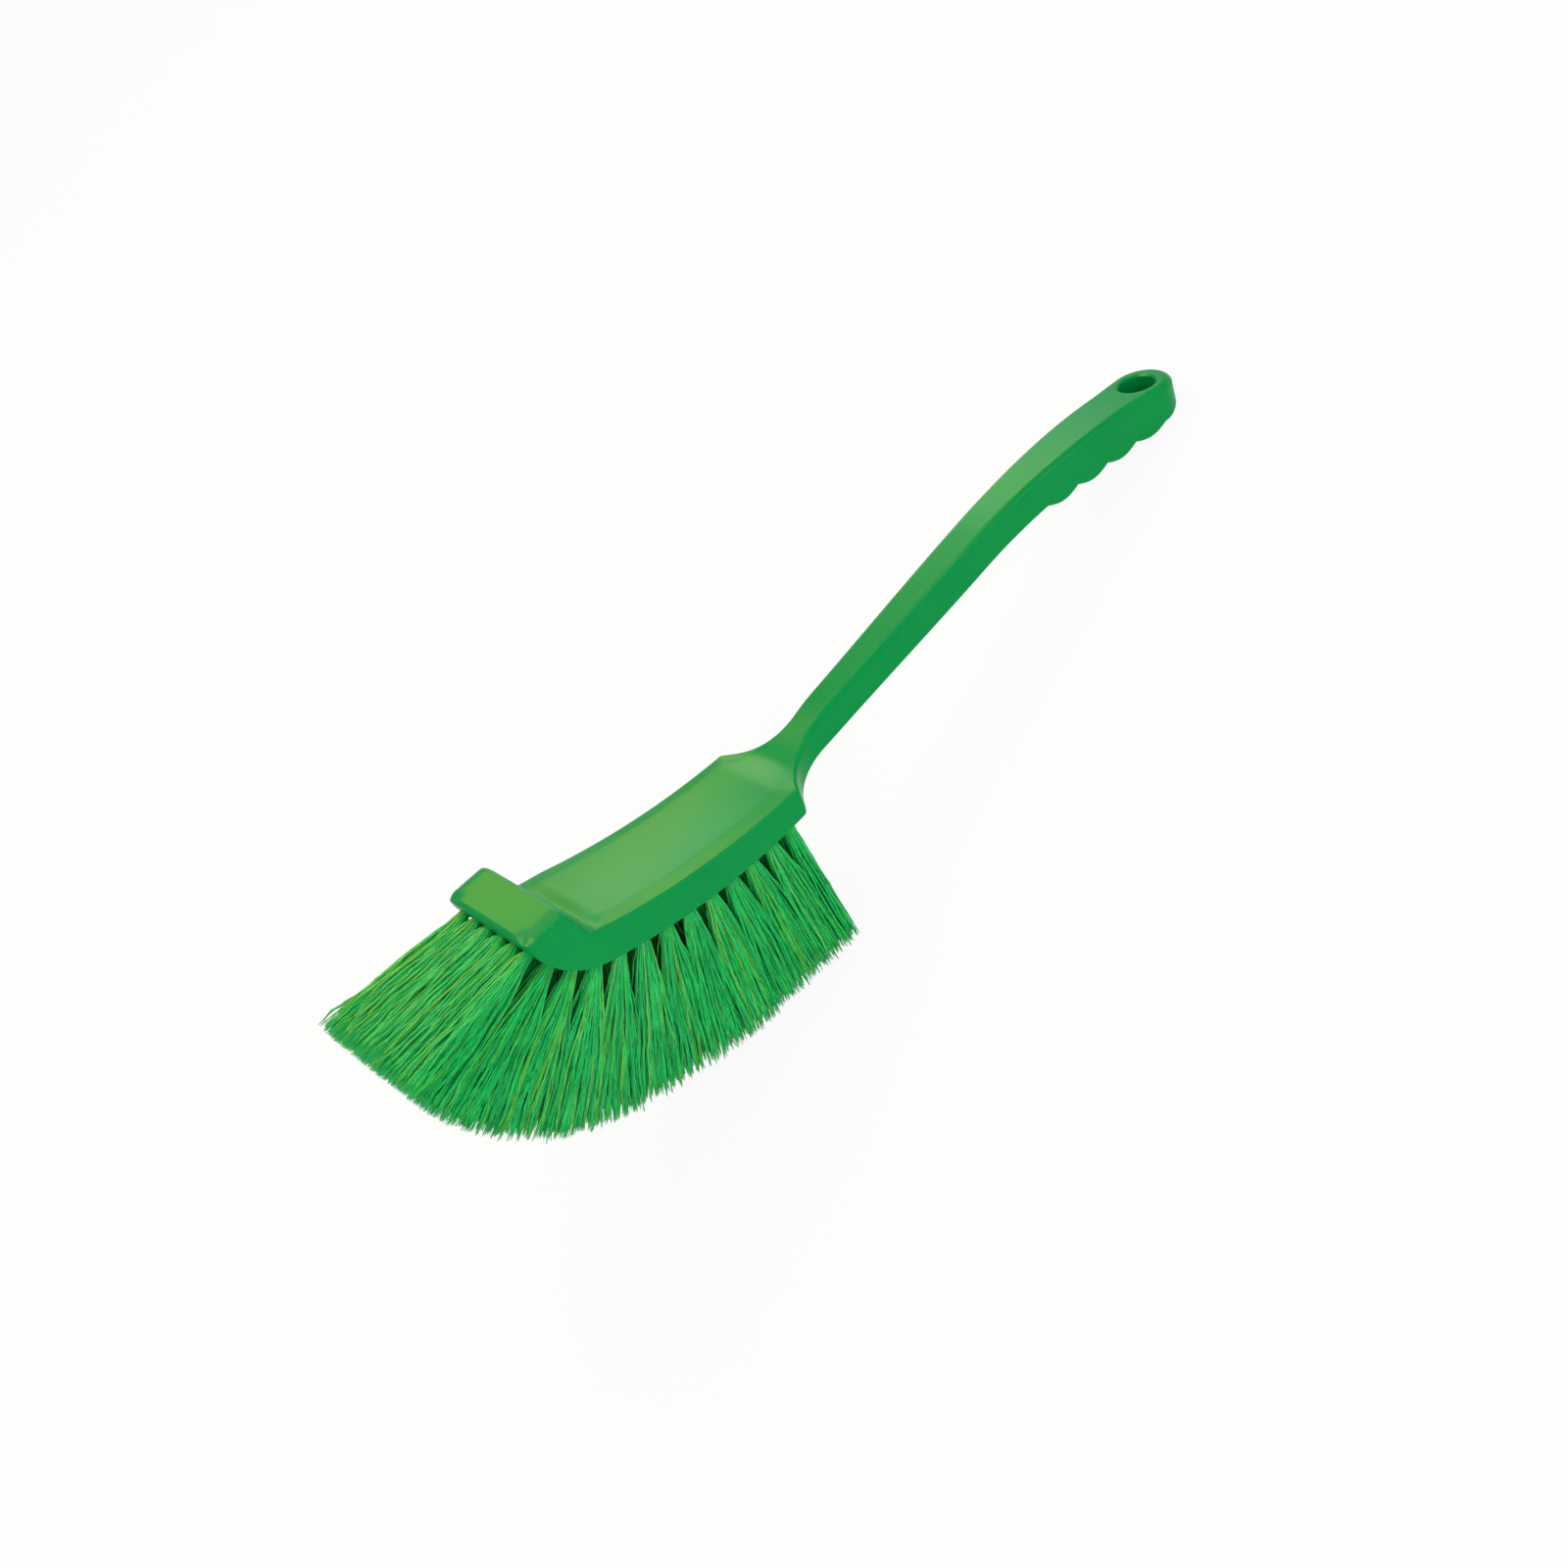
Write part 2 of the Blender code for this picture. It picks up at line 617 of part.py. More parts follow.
def add_object(name, data, material, parent):
    item = bpy.data.objects.new(name, data)
    data.materials.append(material)
    item.parent = parent
    bpy.context.scene.collection.objects.link(item)
    return item


def shade(data):
    data.shade_smooth()
    data.set_sharp_from_angle(angle=SMOOTH_ANGLE)


# The moulded body

def drill(item, cutter_mesh):
    """Cuts a drill's shape out of an object and leaves no modifier behind."""
    cutter = bpy.data.objects.new(cutter_mesh.name, cutter_mesh)
    bpy.context.scene.collection.objects.link(cutter)
    cutter.hide_render = True
    cutter.display_type = "WIRE"
    cut = item.modifiers.new("drill", "BOOLEAN")
    cut.operation = "DIFFERENCE"
    cut.solver = "EXACT"
    cut.object = cutter
    bpy.context.view_layer.update()
    evaluated = item.evaluated_get(bpy.context.evaluated_depsgraph_get())
    drilled = bpy.data.meshes.new_from_object(evaluated)
    drilled.name = item.data.name
    item.modifiers.remove(cut)
    item.data = drilled
    bpy.data.objects.remove(cutter)


def build_body(material, roots, parent):
    item = add_object("brush_body", skin_mesh("brush_body"), material, parent)
    drill(item, hang_hole_mesh())
    drill(item, tuft_drill_mesh(roots))
    shade(item.data)
    return item


# A tuft: strands that rise from a root folded into its hole

def strand_path(root, strand, side, rng):
    """Points of one strand, which keeps to its share of the tuft's cell all the way out."""
    run, y, half_along, half_across = root[:4]
    angle = 2 * math.pi * (strand + STRAND_TURN_SHARE) / ROOT_SIDES
    ring_share = STRAND_REACH_SHARES[strand % len(STRAND_REACH_SHARES)]
    reach = 1 - RAGGED_SHARE * rng.random()
    points = []
    for level in STRAND_LEVEL_SHARES:
        opening = 2 * ring_share * mix(ROOT_CELL_SHARE, CELL_SHARE, level)
        across = opening * half_across * math.cos(angle) + side * WAVE * rng.uniform(-1, 1)
        along = opening * half_along * math.sin(angle) + WAVE * rng.uniform(-1, 1)
        points.append(fan_point(run + along, y + across, level * reach))
    return points


def add_root(mesh):
    """The folded root that sits in the tuft's hole; gives back the corners and the centre of its mouth."""
    foot_z = -(TUFT_HOLE_DEPTH - ROOT_CLEARANCE - ROOT_FOLD)
    mouth = [mesh.verts.new(point) for point in ring_points(ROOT_RADIUS, ROOT_STAND, ROOT_SIDES, 0)]
    foot = [mesh.verts.new(point) for point in ring_points(ROOT_RADIUS, foot_z, ROOT_SIDES, 0)]
    right = mesh.verts.new((FOLD_SHARE * ROOT_RADIUS, 0, foot_z - ROOT_FOLD))
    left = mesh.verts.new((-FOLD_SHARE * ROOT_RADIUS, 0, foot_z - ROOT_FOLD))
    join_rings(mesh, mouth, foot)
    join_rings(mesh, foot, [right if corner.co.x > 0 else left for corner in foot])
    return mouth, mesh.verts.new((0, 0, ROOT_STAND))


def add_strand(mesh, sector, path):
    """A pointed three-sided strand on one sixth of the root's mouth."""
    middle = sum((vert.co for vert in sector), Vector()) / len(sector)
    rays = [(vert.co - middle).normalized() for vert in sector]
    ring = [mesh.verts.new(middle.lerp(vert.co, STRAND_BASE_SHARE)) for vert in sector]
    join_rings(mesh, sector, ring)
    for point, width_share in zip(path, STRAND_WIDTH_SHARES):
        radius = STRAND_WIDTH * width_share / math.sqrt(len(sector))
        following = [mesh.verts.new(point + ray * radius) for ray in rays]
        join_rings(mesh, ring, following)
        ring = following
    join_rings(mesh, ring, [mesh.verts.new(path[-1])] * len(ring))


def tuft_mesh(name, root):
    """One tuft in its own directions, its origin at the mouth of its hole; mirrored pairs match."""
    rng = random.Random(root[4])
    into_tuft = tuft_matrix(root).inverted()
    side = -1 if root[1] < 0 else 1
    mesh = bmesh.new()
    mouth, centre = add_root(mesh)
    for turn in range(ROOT_SIDES):
        strand = turn if side > 0 else (ROOT_SIDES // 2 - 1 - turn) % ROOT_SIDES
        sector = [centre, mouth[strand], mouth[(strand + 1) % ROOT_SIDES]]
        path = [into_tuft @ point for point in strand_path(root, strand, side, rng)]
        add_strand(mesh, sector, path)
    return mesh_from(mesh, name)


def join_rings(mesh, ring, following):
    for index in range(len(ring)):
        after = (index + 1) % len(ring)
        corners = [ring[index], ring[after], following[after], following[index]]
        mesh.faces.new(list(dict.fromkeys(corners)))


def build_tufts(prefix, roots, material, parent):
    tufts = []
    for number, root in enumerate(roots, start=1):
        name = f"{prefix}_{number:02d}"
        item = add_object(name, tuft_mesh(name, root), material, parent)
        item.matrix_local = tuft_matrix(root)
        shade(item.data)
        tufts.append(item)
    return tufts


# Lying on a table

def lowest(points, tilt):
    return min(point.z * math.cos(tilt) - point.x * math.sin(tilt) for point in points)


def rest_tilt(body_points, tuft_points):
    """The tilt, handle down, at which the bristles and the grip touch the table together."""
    low, high = 0, STEEPEST_TILT
    for _ in range(TILT_HALVINGS):
        tilt = (low + high) / 2
        if lowest(body_points, tilt) > lowest(tuft_points, tilt):
            low = tilt
        else:
            high = tilt
    return (low + high) / 2


def lay_down(frame, body, tufts):
    """Tilts the brush to its rest and puts the middle of its footprint at the origin, on the table."""
    bpy.context.view_layer.update()
    body_points = [vert.co.copy() for vert in body.data.vertices]
    tuft_points = [item.matrix_world @ vert.co for item in tufts for vert in item.data.vertices]
    tilt = rest_tilt(body_points, tuft_points)
    turn = Matrix.Rotation(tilt, 3, "Y")
    placed = [turn @ point for point in body_points + tuft_points]
    low = Vector([min(point[axis] for point in placed) for axis in range(3)])
    high = Vector([max(point[axis] for point in placed) for axis in range(3)])
    frame.rotation_euler = (0, tilt, 0)
    frame.location = (-(low.x + high.x) / 2, -(low.y + high.y) / 2, -low.z)


def main():
    for item in list(bpy.data.objects):
        bpy.data.objects.remove(item)
    frame = bpy.data.objects.new("brush_frame", None)
    bpy.context.scene.collection.objects.link(frame)
    body_green = plastic("body_plastic", BODY_COLOR, BODY_ROUGHNESS)
    bristle_green = plastic("bristle_plastic", BRISTLE_COLOR, BRISTLE_ROUGHNESS)
    rim = rim_roots()
    core = core_roots()
    body = build_body(body_green, rim + core, frame)
    tufts = build_tufts("rim_tuft", rim, bristle_green, frame)
    tufts += build_tufts("core_tuft", core, bristle_green, frame)
    lay_down(frame, body, tufts)


main()
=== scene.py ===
import json
import math
from typing import NamedTuple

import bmesh
import bpy
import numpy as np
from mathutils import Matrix, Vector


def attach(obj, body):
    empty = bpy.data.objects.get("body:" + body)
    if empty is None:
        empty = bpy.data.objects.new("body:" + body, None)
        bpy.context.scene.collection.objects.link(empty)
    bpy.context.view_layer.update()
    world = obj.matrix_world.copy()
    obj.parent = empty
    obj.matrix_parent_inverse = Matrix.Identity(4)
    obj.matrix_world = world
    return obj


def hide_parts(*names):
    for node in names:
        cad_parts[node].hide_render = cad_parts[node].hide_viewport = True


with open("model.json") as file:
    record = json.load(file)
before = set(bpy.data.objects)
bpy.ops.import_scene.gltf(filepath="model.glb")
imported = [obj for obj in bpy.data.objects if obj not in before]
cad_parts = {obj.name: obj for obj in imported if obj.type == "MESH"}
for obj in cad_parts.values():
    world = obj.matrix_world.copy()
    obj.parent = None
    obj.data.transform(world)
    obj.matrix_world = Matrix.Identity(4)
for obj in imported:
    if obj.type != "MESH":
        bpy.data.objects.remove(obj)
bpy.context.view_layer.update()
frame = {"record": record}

MM = 0.001

# Camera at the photograph's viewing angle, in the brush's own directions
CAMERA_LENS = 49.5
CAMERA_SENSOR = 36
CAMERA_REACH = 20
CAMERA_PLACE = Vector((-245.63, -719.62, 489.37)) * MM
CAMERA_TURN = Matrix((
    (0.74051, 0.53008, -0.41311),
    (-0.60956, 0.27091, -0.74501),
    (-0.283, 0.8035, 0.52373),
))

# Lengths along the brush, from the front of the head to the end of the grip
BAR_LENGTH = 20.2 * MM
BAR_BACK_RUN = 6.8 * MM
HEAD_LENGTH = 144 * MM
NECK_LENGTH = 42 * MM
SHANK_LENGTH = 100 * MM
BEND_LENGTH = 108 * MM
LAND_LENGTH = 31.9 * MM

# Widths
HEAD_FRONT_WIDTH = 67.8 * MM
HEAD_REAR_WIDTH = 58.4 * MM
NECK_WIDTH = 17.4 * MM
SHANK_WIDTH = 21.6 * MM
GRIP_WIDTH = 28 * MM
EYE_WIDTH = 30.8 * MM
EYE_LEAD = 22 * MM
HEAD_CORNER_RADIUS = 5.5 * MM
SHOULDER_ROUNDING = 5 * MM
WAIST_RADIUS = 32 * MM
WAIST_SETBACK = 12 * MM

# Top line, its heights over the chord of the plate
BAR_RISE = 16 * MM
BAR_PITCH = math.radians(9)
BAR_EDGE_RADIUS = 2.5 * MM
BAR_CREST_BAND = 5.5 * MM
BAR_FOOT_BAND = 9 * MM
PLATE_SAG = 5.7 * MM
PLATE_RADIUS = 357 * MM
PLATE_LOW_POINT = 98 * MM
NECK_LEAD = 6 * MM
NECK_RISE = 12.9 * MM
SHANK_ANGLE = math.radians(15.8)

# Underside of the head and of the shank
BLOCK_THICKNESS = 15.8 * MM
UNDERSIDE_RADIUS = 300 * MM
UNDERSIDE_LOW_POINT = 88 * MM
NOSE_RADIUS = 40 * MM
NOSE_LENGTH = 30.2 * MM
BLOCK_HEEL = 4 * MM
SHANK_DEPTH = 15.8 * MM
SHANK_END_DEPTH = 16.6 * MM

# Finger grip
FINGER_COUNT = 4
FINGER_PITCH = 19.8 * MM
FINGER_SWELL = 2.6 * MM
FINGER_SETBACK = 17.5 * MM
GRIP_DEPTH = 18 * MM
END_RISE = 4 * MM

# Edges of the moulding
BAR_END_WIDTH = 9 * MM
BAR_END_DROP = 3.2 * MM
HEAD_EDGE = 2.2 * MM
EDGE_RUNOUT = 14 * MM
HANDLE_EDGE_WIDTH = 3.1 * MM
HANDLE_EDGE_DROP = 3 * MM
BOTTOM_EDGE = 1.4 * MM
GRIP_BOTTOM_EDGE = 1.3 * MM
ROUND_EDGE_POWER = 2.0
FLAT_EDGE_POWER = 1.5
EDGE_HEIGHT_SHARE = 0.4
EDGE_WIDTH_SHARE = 0.4
SHARP_ANGLE = math.radians(34)

# Sloping border of the plate and the slight crown inside it
BORDER_WIDTH = 6.4 * MM
BORDER_RISE = 1.1 * MM
BORDER_LEAD = 9 * MM
PLATE_CROWN = 0.5 * MM
BORDER_SOFT_SHARE = 0.2
BORDER_WIDTH_SHARE = 0.3

# Hanging hole
HANG_HOLE_RADIUS = 9.1 * MM
HANG_HOLE_SETBACK = 17.2 * MM
HANG_HOLE_CHAMFER = 0.9 * MM
HANG_HOLE_SIDES = 72
MOUNT_LEAD = 2.4 * MM
CUTTER_OVERHANG = 6 * MM

# Sections of the body: their places along it and their points from the middle of the top to the underside
OUTLINE_STEP = 0.4 * MM
OUTLINE_REACH = 14 * MM
OUTLINE_END_POINTS = 60
CORNER_SECTIONS = 26
FIRST_CORNER_TURN = 0.02
HEAD_SECTION_PITCH = 0.9 * MM
HANDLE_SECTION_PITCH = 1.6 * MM
FINGER_SECTIONS = 16
END_SECTIONS = 34
LAST_END_TURN = math.radians(88)
SMALLEST_SECTION_GAP = 0.004 * MM
TOP_SHARES = (0, 0.15, 0.3, 0.45, 0.6, 0.75, 0.88, 0.95, 1)
BORDER_SHARES = (0.1, 0.2, 0.35, 0.55, 0.8, 1)
EDGE_SHARES = (0.86, 0.72, 0.58, 0.45, 0.33, 0.22, 0.13, 0.06, 0.02, 0)
SIDE_SHARES = (0.12, 0.3, 0.5, 0.7, 0.88)
BOTTOM_SHARES = (0, 0.03, 0.1, 0.22, 0.4, 0.65, 1)
UNDER_SHARES = (0.8, 0.55, 0.28, 0)

# Tufts and the holes that they stand in
TUFT_ROWS = 13
RIM_TUFTS_ACROSS = 6
CORE_TUFTS_ACROSS = (3, 2)
CORE_ROWS = 10
CORE_PAIR_SHARE = 1.2
FIRST_ROW_INSET = 6.7 * MM
LAST_ROW_INSET = 8 * MM
SIDE_ROW_INSET = 8 * MM
TUFT_HOLE_RADIUS = 2.6 * MM
TUFT_HOLE_DEPTH = 8 * MM
TUFT_HOLE_SIDES = 16
DRILL_POINT = 1.2 * MM

# Fan of the bristles and the ellipse that they are trimmed to
FRONT_TUFT_ANGLE = math.radians(194)
REAR_TUFT_ANGLE = math.radians(277)
FAN_POWER = 2.08
TRIM_CENTRE_X = 75 * MM
TRIM_CENTRE_Z = 5 * MM
TRIM_HALF_LENGTH = 151 * MM
TRIM_HALF_HEIGHT = 101 * MM
TIP_SPREAD = 1.36

# Filaments of a tuft, in clumps that close towards their tips
CLUMPS = 84
CLUMP_FILAMENTS = 5
FILAMENTS = CLUMPS * CLUMP_FILAMENTS
CORE_SEED = 100
GOLDEN_HALF_TURNS = 3 - math.sqrt(5)
ROOT_BUNDLE_RADIUS = 2.1 * MM
ROOT_FOOT = 6 * MM
CLUMP_SHARE = 0.075
CLUMP_TIP_SHARE = 0.45
CLOSING_START_SHARE = 0.8
FILAMENT_TONE_SHARE = 0.12

# Levels of a filament, and the share of its length over which it turns into the fan
FILAMENT_LEVELS = 15
LEVEL_POWER = 1.4
LEVEL_SHARES = np.linspace(0, 1, FILAMENT_LEVELS) ** LEVEL_POWER
TURN_SHARE = 0.35

# How far the filaments reach, as shares of the way to the trim
REACH_SHARE = 0.992
ROW_REACH_SHARES = (
    0.976, 0.974, 0.992, 1.018, 1.01, 0.984, 0.972, 0.98, 0.992, 0.968, 0.98, 1.0, 1.02,
)
CLUMP_RAGGED_SHARE = 0.055
FILAMENT_RAGGED_SHARE = 0.02

# The cell that a tuft opens into, and how soon it opens
CELL_SHARE = 1.08
PAIR_CELL_SHARE = 1.25
FRONT_CELL_SHARE = 0.4
REAR_CELL_SHARE = 0.2
SIDE_CELL_SHARES = (0.5, 0.8)
SIDE_CELL_POWER = 3
OPENING_POWER = 3.3
NOSE_OPENING_POWER = 30
NOSE_OPENING_ROWS = 1.5
OUTER_OPENING_POWER = 2.6

# Waves of the filaments, which grow between two shares of the length
CLUMP_BEND = 0.45 * MM
CLUMP_BEND_TURNS = (0.6, 1.6)
CLUMP_WAVE = 0.13 * MM
FILAMENT_WAVE = 0.12 * MM
WAVE_START_SHARES = (0.03, 0.2)

# Sections of a filament
FILAMENT_SIDES = 3
FILAMENT_RADIUS = 0.27 * MM
TIP_RADIUS_SHARE = 0.25
SIDE_REFERENCE = (0.0, 1.0, 0.15)
FLOOR_CLEARANCE = 0.2 * MM

# Body plastic
BODY_COLORS = (
    (0.3, (0.001, 0.282, 0.064)),
    (0.7, (0.002, 0.302, 0.069)),
)
BODY_TONE_SCALE = 28
BODY_GRAIN_SCALE = 2400
BODY_GRAIN_STRENGTH = 0.06
BODY_GRAIN_HEIGHT = 0.2 * MM
BODY_ROUGHNESS = (0.24, 0.32)
BODY_SPECULAR = 0.07

# Bristle plastic: colours along the tone of the filaments, and a shade over them. The greens are painted
# lighter than the body's green, a painted lift that stands in for light passing through the filaments; the
# olive stops are painted highlight streaks, and the last, pale bluish stop is a painted glint.
BRISTLE_TONES_AND_HIGHLIGHTS = (
    (0.0, (0.003, 0.56, 0.122)),
    (0.35, (0.004, 0.65, 0.14)),
    (0.74, (0.008, 0.725, 0.15)),
    (0.8, (0.05, 0.66, 0.095)),
    (0.94, (0.15, 0.63, 0.058)),
    (1.0, (0.11, 0.73, 0.19)),
)
BRISTLE_SHADES = (
    (0.3, (0.8, 0.86, 0.88)),
    (0.68, (1.0, 1.0, 1.0)),
)
BRISTLE_SHADE_SCALE = 110
BRISTLE_ROUGHNESS = 0.34
BRISTLE_SPECULAR = 0.4

# Numbers of the sockets of a Mix node that mixes colours
MIX_FIRST_COLOR = 6
MIX_SECOND_COLOR = 7
MIX_COLOR_RESULT = 2

# Floor and room
WHITE = (1, 1, 1, 1)
FLOOR_PAINT = (0.95, 0.95, 0.95, 1)
FLOOR_HALF_SIZE = 4
FLOOR_SEEN_SHARE = 0.92
ROOM_LIGHT = 0.5

# Soft lamps: name, width in metres, watts, colour, place and the point that each faces
LAMPS = (
    ("key_lamp", 1.2, 14.5, (1.0, 0.93, 0.5), (0.4, 0.9, 1.7), (-0.1, 0, 0.1)),
    ("fill_lamp", 1.8, 17, (1.0, 1.0, 1.0), (-1.2, -1.6, 1.1), (0, 0, 0.05)),
    ("edge_lamp", 0.6, 5.5, (0.8, 1.0, 0.9), (1.2, -1.3, 0.85), (0.1, 0, 0.05)),
)

# Glowing cards that show in the gloss of the plastic, in the same terms
CARDS = (
    ("head_card", 0.5, 5.2, (1.0, 0.87, 0.15), (0.97, 1.48, 0.65), (-0.1, 0, 0.1)),
    ("cool_card", 0.7, 4.6, (0.8, 1.0, 1.0), (1.33, 1.38, 0.63), (0.1, 0, 0.05)),
    ("rim_card", 0.25, 1, (0.3, 0.9, 1.0), (1.02, 1.33, 0.86), (-0.08, -0.02, 0.09)),
    ("bar_card", 0.14, 0.52, (1.0, 0.87, 0.05), (0.02, 0.4, 0.39), (-0.15, 0, 0.15)),
    ("border_card", 0.42, 10, (1.0, 0.85, 0.1), (1.27, 0.93, 1.03), (-0.09, -0.02, 0.09)),
    ("line_card", 0.35, 6, (0.95, 1.0, 0.8), (0.85, -0.08, 1.53), (-0.05, 0, 0.09)),
    ("front_card", 0.8, 43, (1.0, 0.8, 0.15), (-0.15, 0.3, 1.5), (-0.2, 0, 0.05)),
)

# Places that follow from the lengths
BAR_FOOT = BAR_LENGTH + BAR_BACK_RUN
NECK_START = HEAD_LENGTH + NECK_LEAD
SHANK_START = HEAD_LENGTH + NECK_LENGTH
BEND_START = SHANK_START + SHANK_LENGTH
LAND_START = BEND_START + BEND_LENGTH
BODY_LENGTH = LAND_START + LAND_LENGTH
WAIST = SHANK_START - WAIST_SETBACK
END_RADIUS = EYE_WIDTH / 2
END_CENTRE = BODY_LENGTH - END_RADIUS
EYE_START = END_CENTRE - EYE_LEAD
HANG_HOLE_CENTRE = BODY_LENGTH - HANG_HOLE_SETBACK
FINGER_END = BODY_LENGTH - FINGER_SETBACK
FINGER_START = FINGER_END - FINGER_COUNT * FINGER_PITCH


def mix(start, end, share):
    return start + (end - start) * share


def ease(value, start, end):
    """A smooth share, 0 up to the start and 1 from the end on, for a number or an array."""
    share = np.clip((value - start) / (end - start), 0, 1)
    return share * share * (3 - 2 * share)


def soft_min(a, b, band):
    """The smaller of two values, rounded where they cross."""
    share = max(band - abs(a - b), 0) / band
    return min(a, b) - share * share * band / 4


def soft_max(a, b, band):
    return -soft_min(-a, -b, band)


def hermite(x, start, end, start_height, end_height, start_slope, end_slope):
    """Height at x of a smooth curve between two heights with given slopes."""
    run = end - start
    t = (x - start) / run
    return (
        (2 * t**3 - 3 * t**2 + 1) * start_height
        + (t**3 - 2 * t**2 + t) * run * start_slope
        + (3 * t**2 - 2 * t**3) * end_height
        + (t**3 - t**2) * run * end_slope
    )


def add_object(name, data):
    item = bpy.data.objects.new(name, data)
    bpy.context.scene.collection.objects.link(item)
    return item


# Side profile of the body

SHANK_SLOPE = math.tan(SHANK_ANGLE)
BEND_RADIUS = BEND_LENGTH / math.sin(SHANK_ANGLE)


def plate_height(x):
    offset = x - PLATE_LOW_POINT
    return PLATE_RADIUS - PLATE_SAG - math.sqrt(PLATE_RADIUS**2 - offset**2)


def plate_slope(x):
    offset = x - PLATE_LOW_POINT
    return offset / math.sqrt(PLATE_RADIUS**2 - offset**2)


NECK_START_HEIGHT = plate_height(NECK_START)
SHANK_START_HEIGHT = NECK_START_HEIGHT + NECK_RISE
BEND_START_HEIGHT = SHANK_START_HEIGHT + SHANK_LENGTH * SHANK_SLOPE
LAND_HEIGHT = BEND_START_HEIGHT + BEND_RADIUS * (1 - math.cos(SHANK_ANGLE))

UNDERSIDE_CENTRE_Z = UNDERSIDE_RADIUS - PLATE_SAG - BLOCK_THICKNESS
NOSE_JOIN_ANGLE = math.asin((UNDERSIDE_LOW_POINT - NOSE_LENGTH) / UNDERSIDE_RADIUS)
NOSE_CENTRE_X = NOSE_LENGTH + NOSE_RADIUS * math.sin(NOSE_JOIN_ANGLE)
NOSE_CENTRE_Z = UNDERSIDE_CENTRE_Z - (UNDERSIDE_RADIUS - NOSE_RADIUS) * math.cos(NOSE_JOIN_ANGLE)
HEEL = HEAD_LENGTH - BLOCK_HEEL
EDGE_CENTRE_Z = BAR_RISE - BAR_EDGE_RADIUS
EDGE_CENTRE_X = NOSE_CENTRE_X - math.sqrt(
    (NOSE_RADIUS - BAR_EDGE_RADIUS) ** 2 - (NOSE_CENTRE_Z - EDGE_CENTRE_Z) ** 2
)
NOSE_TOP_ANGLE = math.atan2(NOSE_CENTRE_X - EDGE_CENTRE_X, NOSE_CENTRE_Z - EDGE_CENTRE_Z)
FRONT = EDGE_CENTRE_X - BAR_EDGE_RADIUS * math.sin(NOSE_TOP_ANGLE)
CORNER_END = FRONT + HEAD_CORNER_RADIUS


def bar_height(x):
    return BAR_RISE + (x - EDGE_CENTRE_X) * math.tan(BAR_PITCH)


BAR_BACK_SLOPE = (bar_height(BAR_LENGTH) - plate_height(BAR_FOOT)) / BAR_BACK_RUN
BAR_FOOT_END = BAR_FOOT + BAR_FOOT_BAND / BAR_BACK_SLOPE


def top_height(x):
    """The bar, the plate, the neck, the straight shank, the bend and the land."""
    if x < NECK_START:
        back = bar_height(BAR_LENGTH) - (x - BAR_LENGTH) * BAR_BACK_SLOPE
        bar = soft_min(bar_height(x), back, BAR_CREST_BAND)
        return bar if x < BAR_LENGTH else soft_max(bar, plate_height(x), BAR_FOOT_BAND)
    if x < SHANK_START:
        return hermite(x, NECK_START, SHANK_START, NECK_START_HEIGHT, SHANK_START_HEIGHT,
                       plate_slope(NECK_START), SHANK_SLOPE)
    if x < BEND_START:
        return SHANK_START_HEIGHT + (x - SHANK_START) * SHANK_SLOPE
    if x < LAND_START:
        offset = LAND_START - x
        return LAND_HEIGHT - BEND_RADIUS + math.sqrt(BEND_RADIUS**2 - offset**2)
    return LAND_HEIGHT


def front_top_height(x):
    """The top line with the rounded edge that it starts with."""
    if x < EDGE_CENTRE_X:
        return EDGE_CENTRE_Z + math.sqrt(max(BAR_EDGE_RADIUS**2 - (EDGE_CENTRE_X - x) ** 2, 0))
    return top_height(x)


def block_underside(x):
    if x < NOSE_LENGTH:
        return NOSE_CENTRE_Z - math.sqrt(max(NOSE_RADIUS**2 - (NOSE_CENTRE_X - x) ** 2, 0))
    return UNDERSIDE_CENTRE_Z - math.sqrt(UNDERSIDE_RADIUS**2 - (UNDERSIDE_LOW_POINT - x) ** 2)


def grip_underside(x):
    start = top_height(FINGER_START) - SHANK_END_DEPTH
    end = LAND_HEIGHT - GRIP_DEPTH
    return mix(start, end, (x - FINGER_START) / (FINGER_END - FINGER_START))


def bottom_height(x):
    """The head's block, its heel, the shank, the finger swells and the end."""
    if x < HEEL:
        return block_underside(x)
    if x < SHANK_START:
        shank_bottom = SHANK_START_HEIGHT - SHANK_DEPTH
        slope = (x - UNDERSIDE_LOW_POINT) / UNDERSIDE_RADIUS
        return hermite(x, HEEL, SHANK_START, block_underside(HEEL), shank_bottom, slope, SHANK_SLOPE)
    if x < FINGER_START:
        share = (x - SHANK_START) / (FINGER_START - SHANK_START)
        return top_height(x) - mix(SHANK_DEPTH, SHANK_END_DEPTH, share)
    if x < FINGER_END:
        turn = math.pi * (x - FINGER_START) / FINGER_PITCH
        return grip_underside(x) - FINGER_SWELL * abs(math.sin(turn))
    return grip_underside(FINGER_END) + END_RISE * ease(x, FINGER_END, BODY_LENGTH)


# Plan of the body

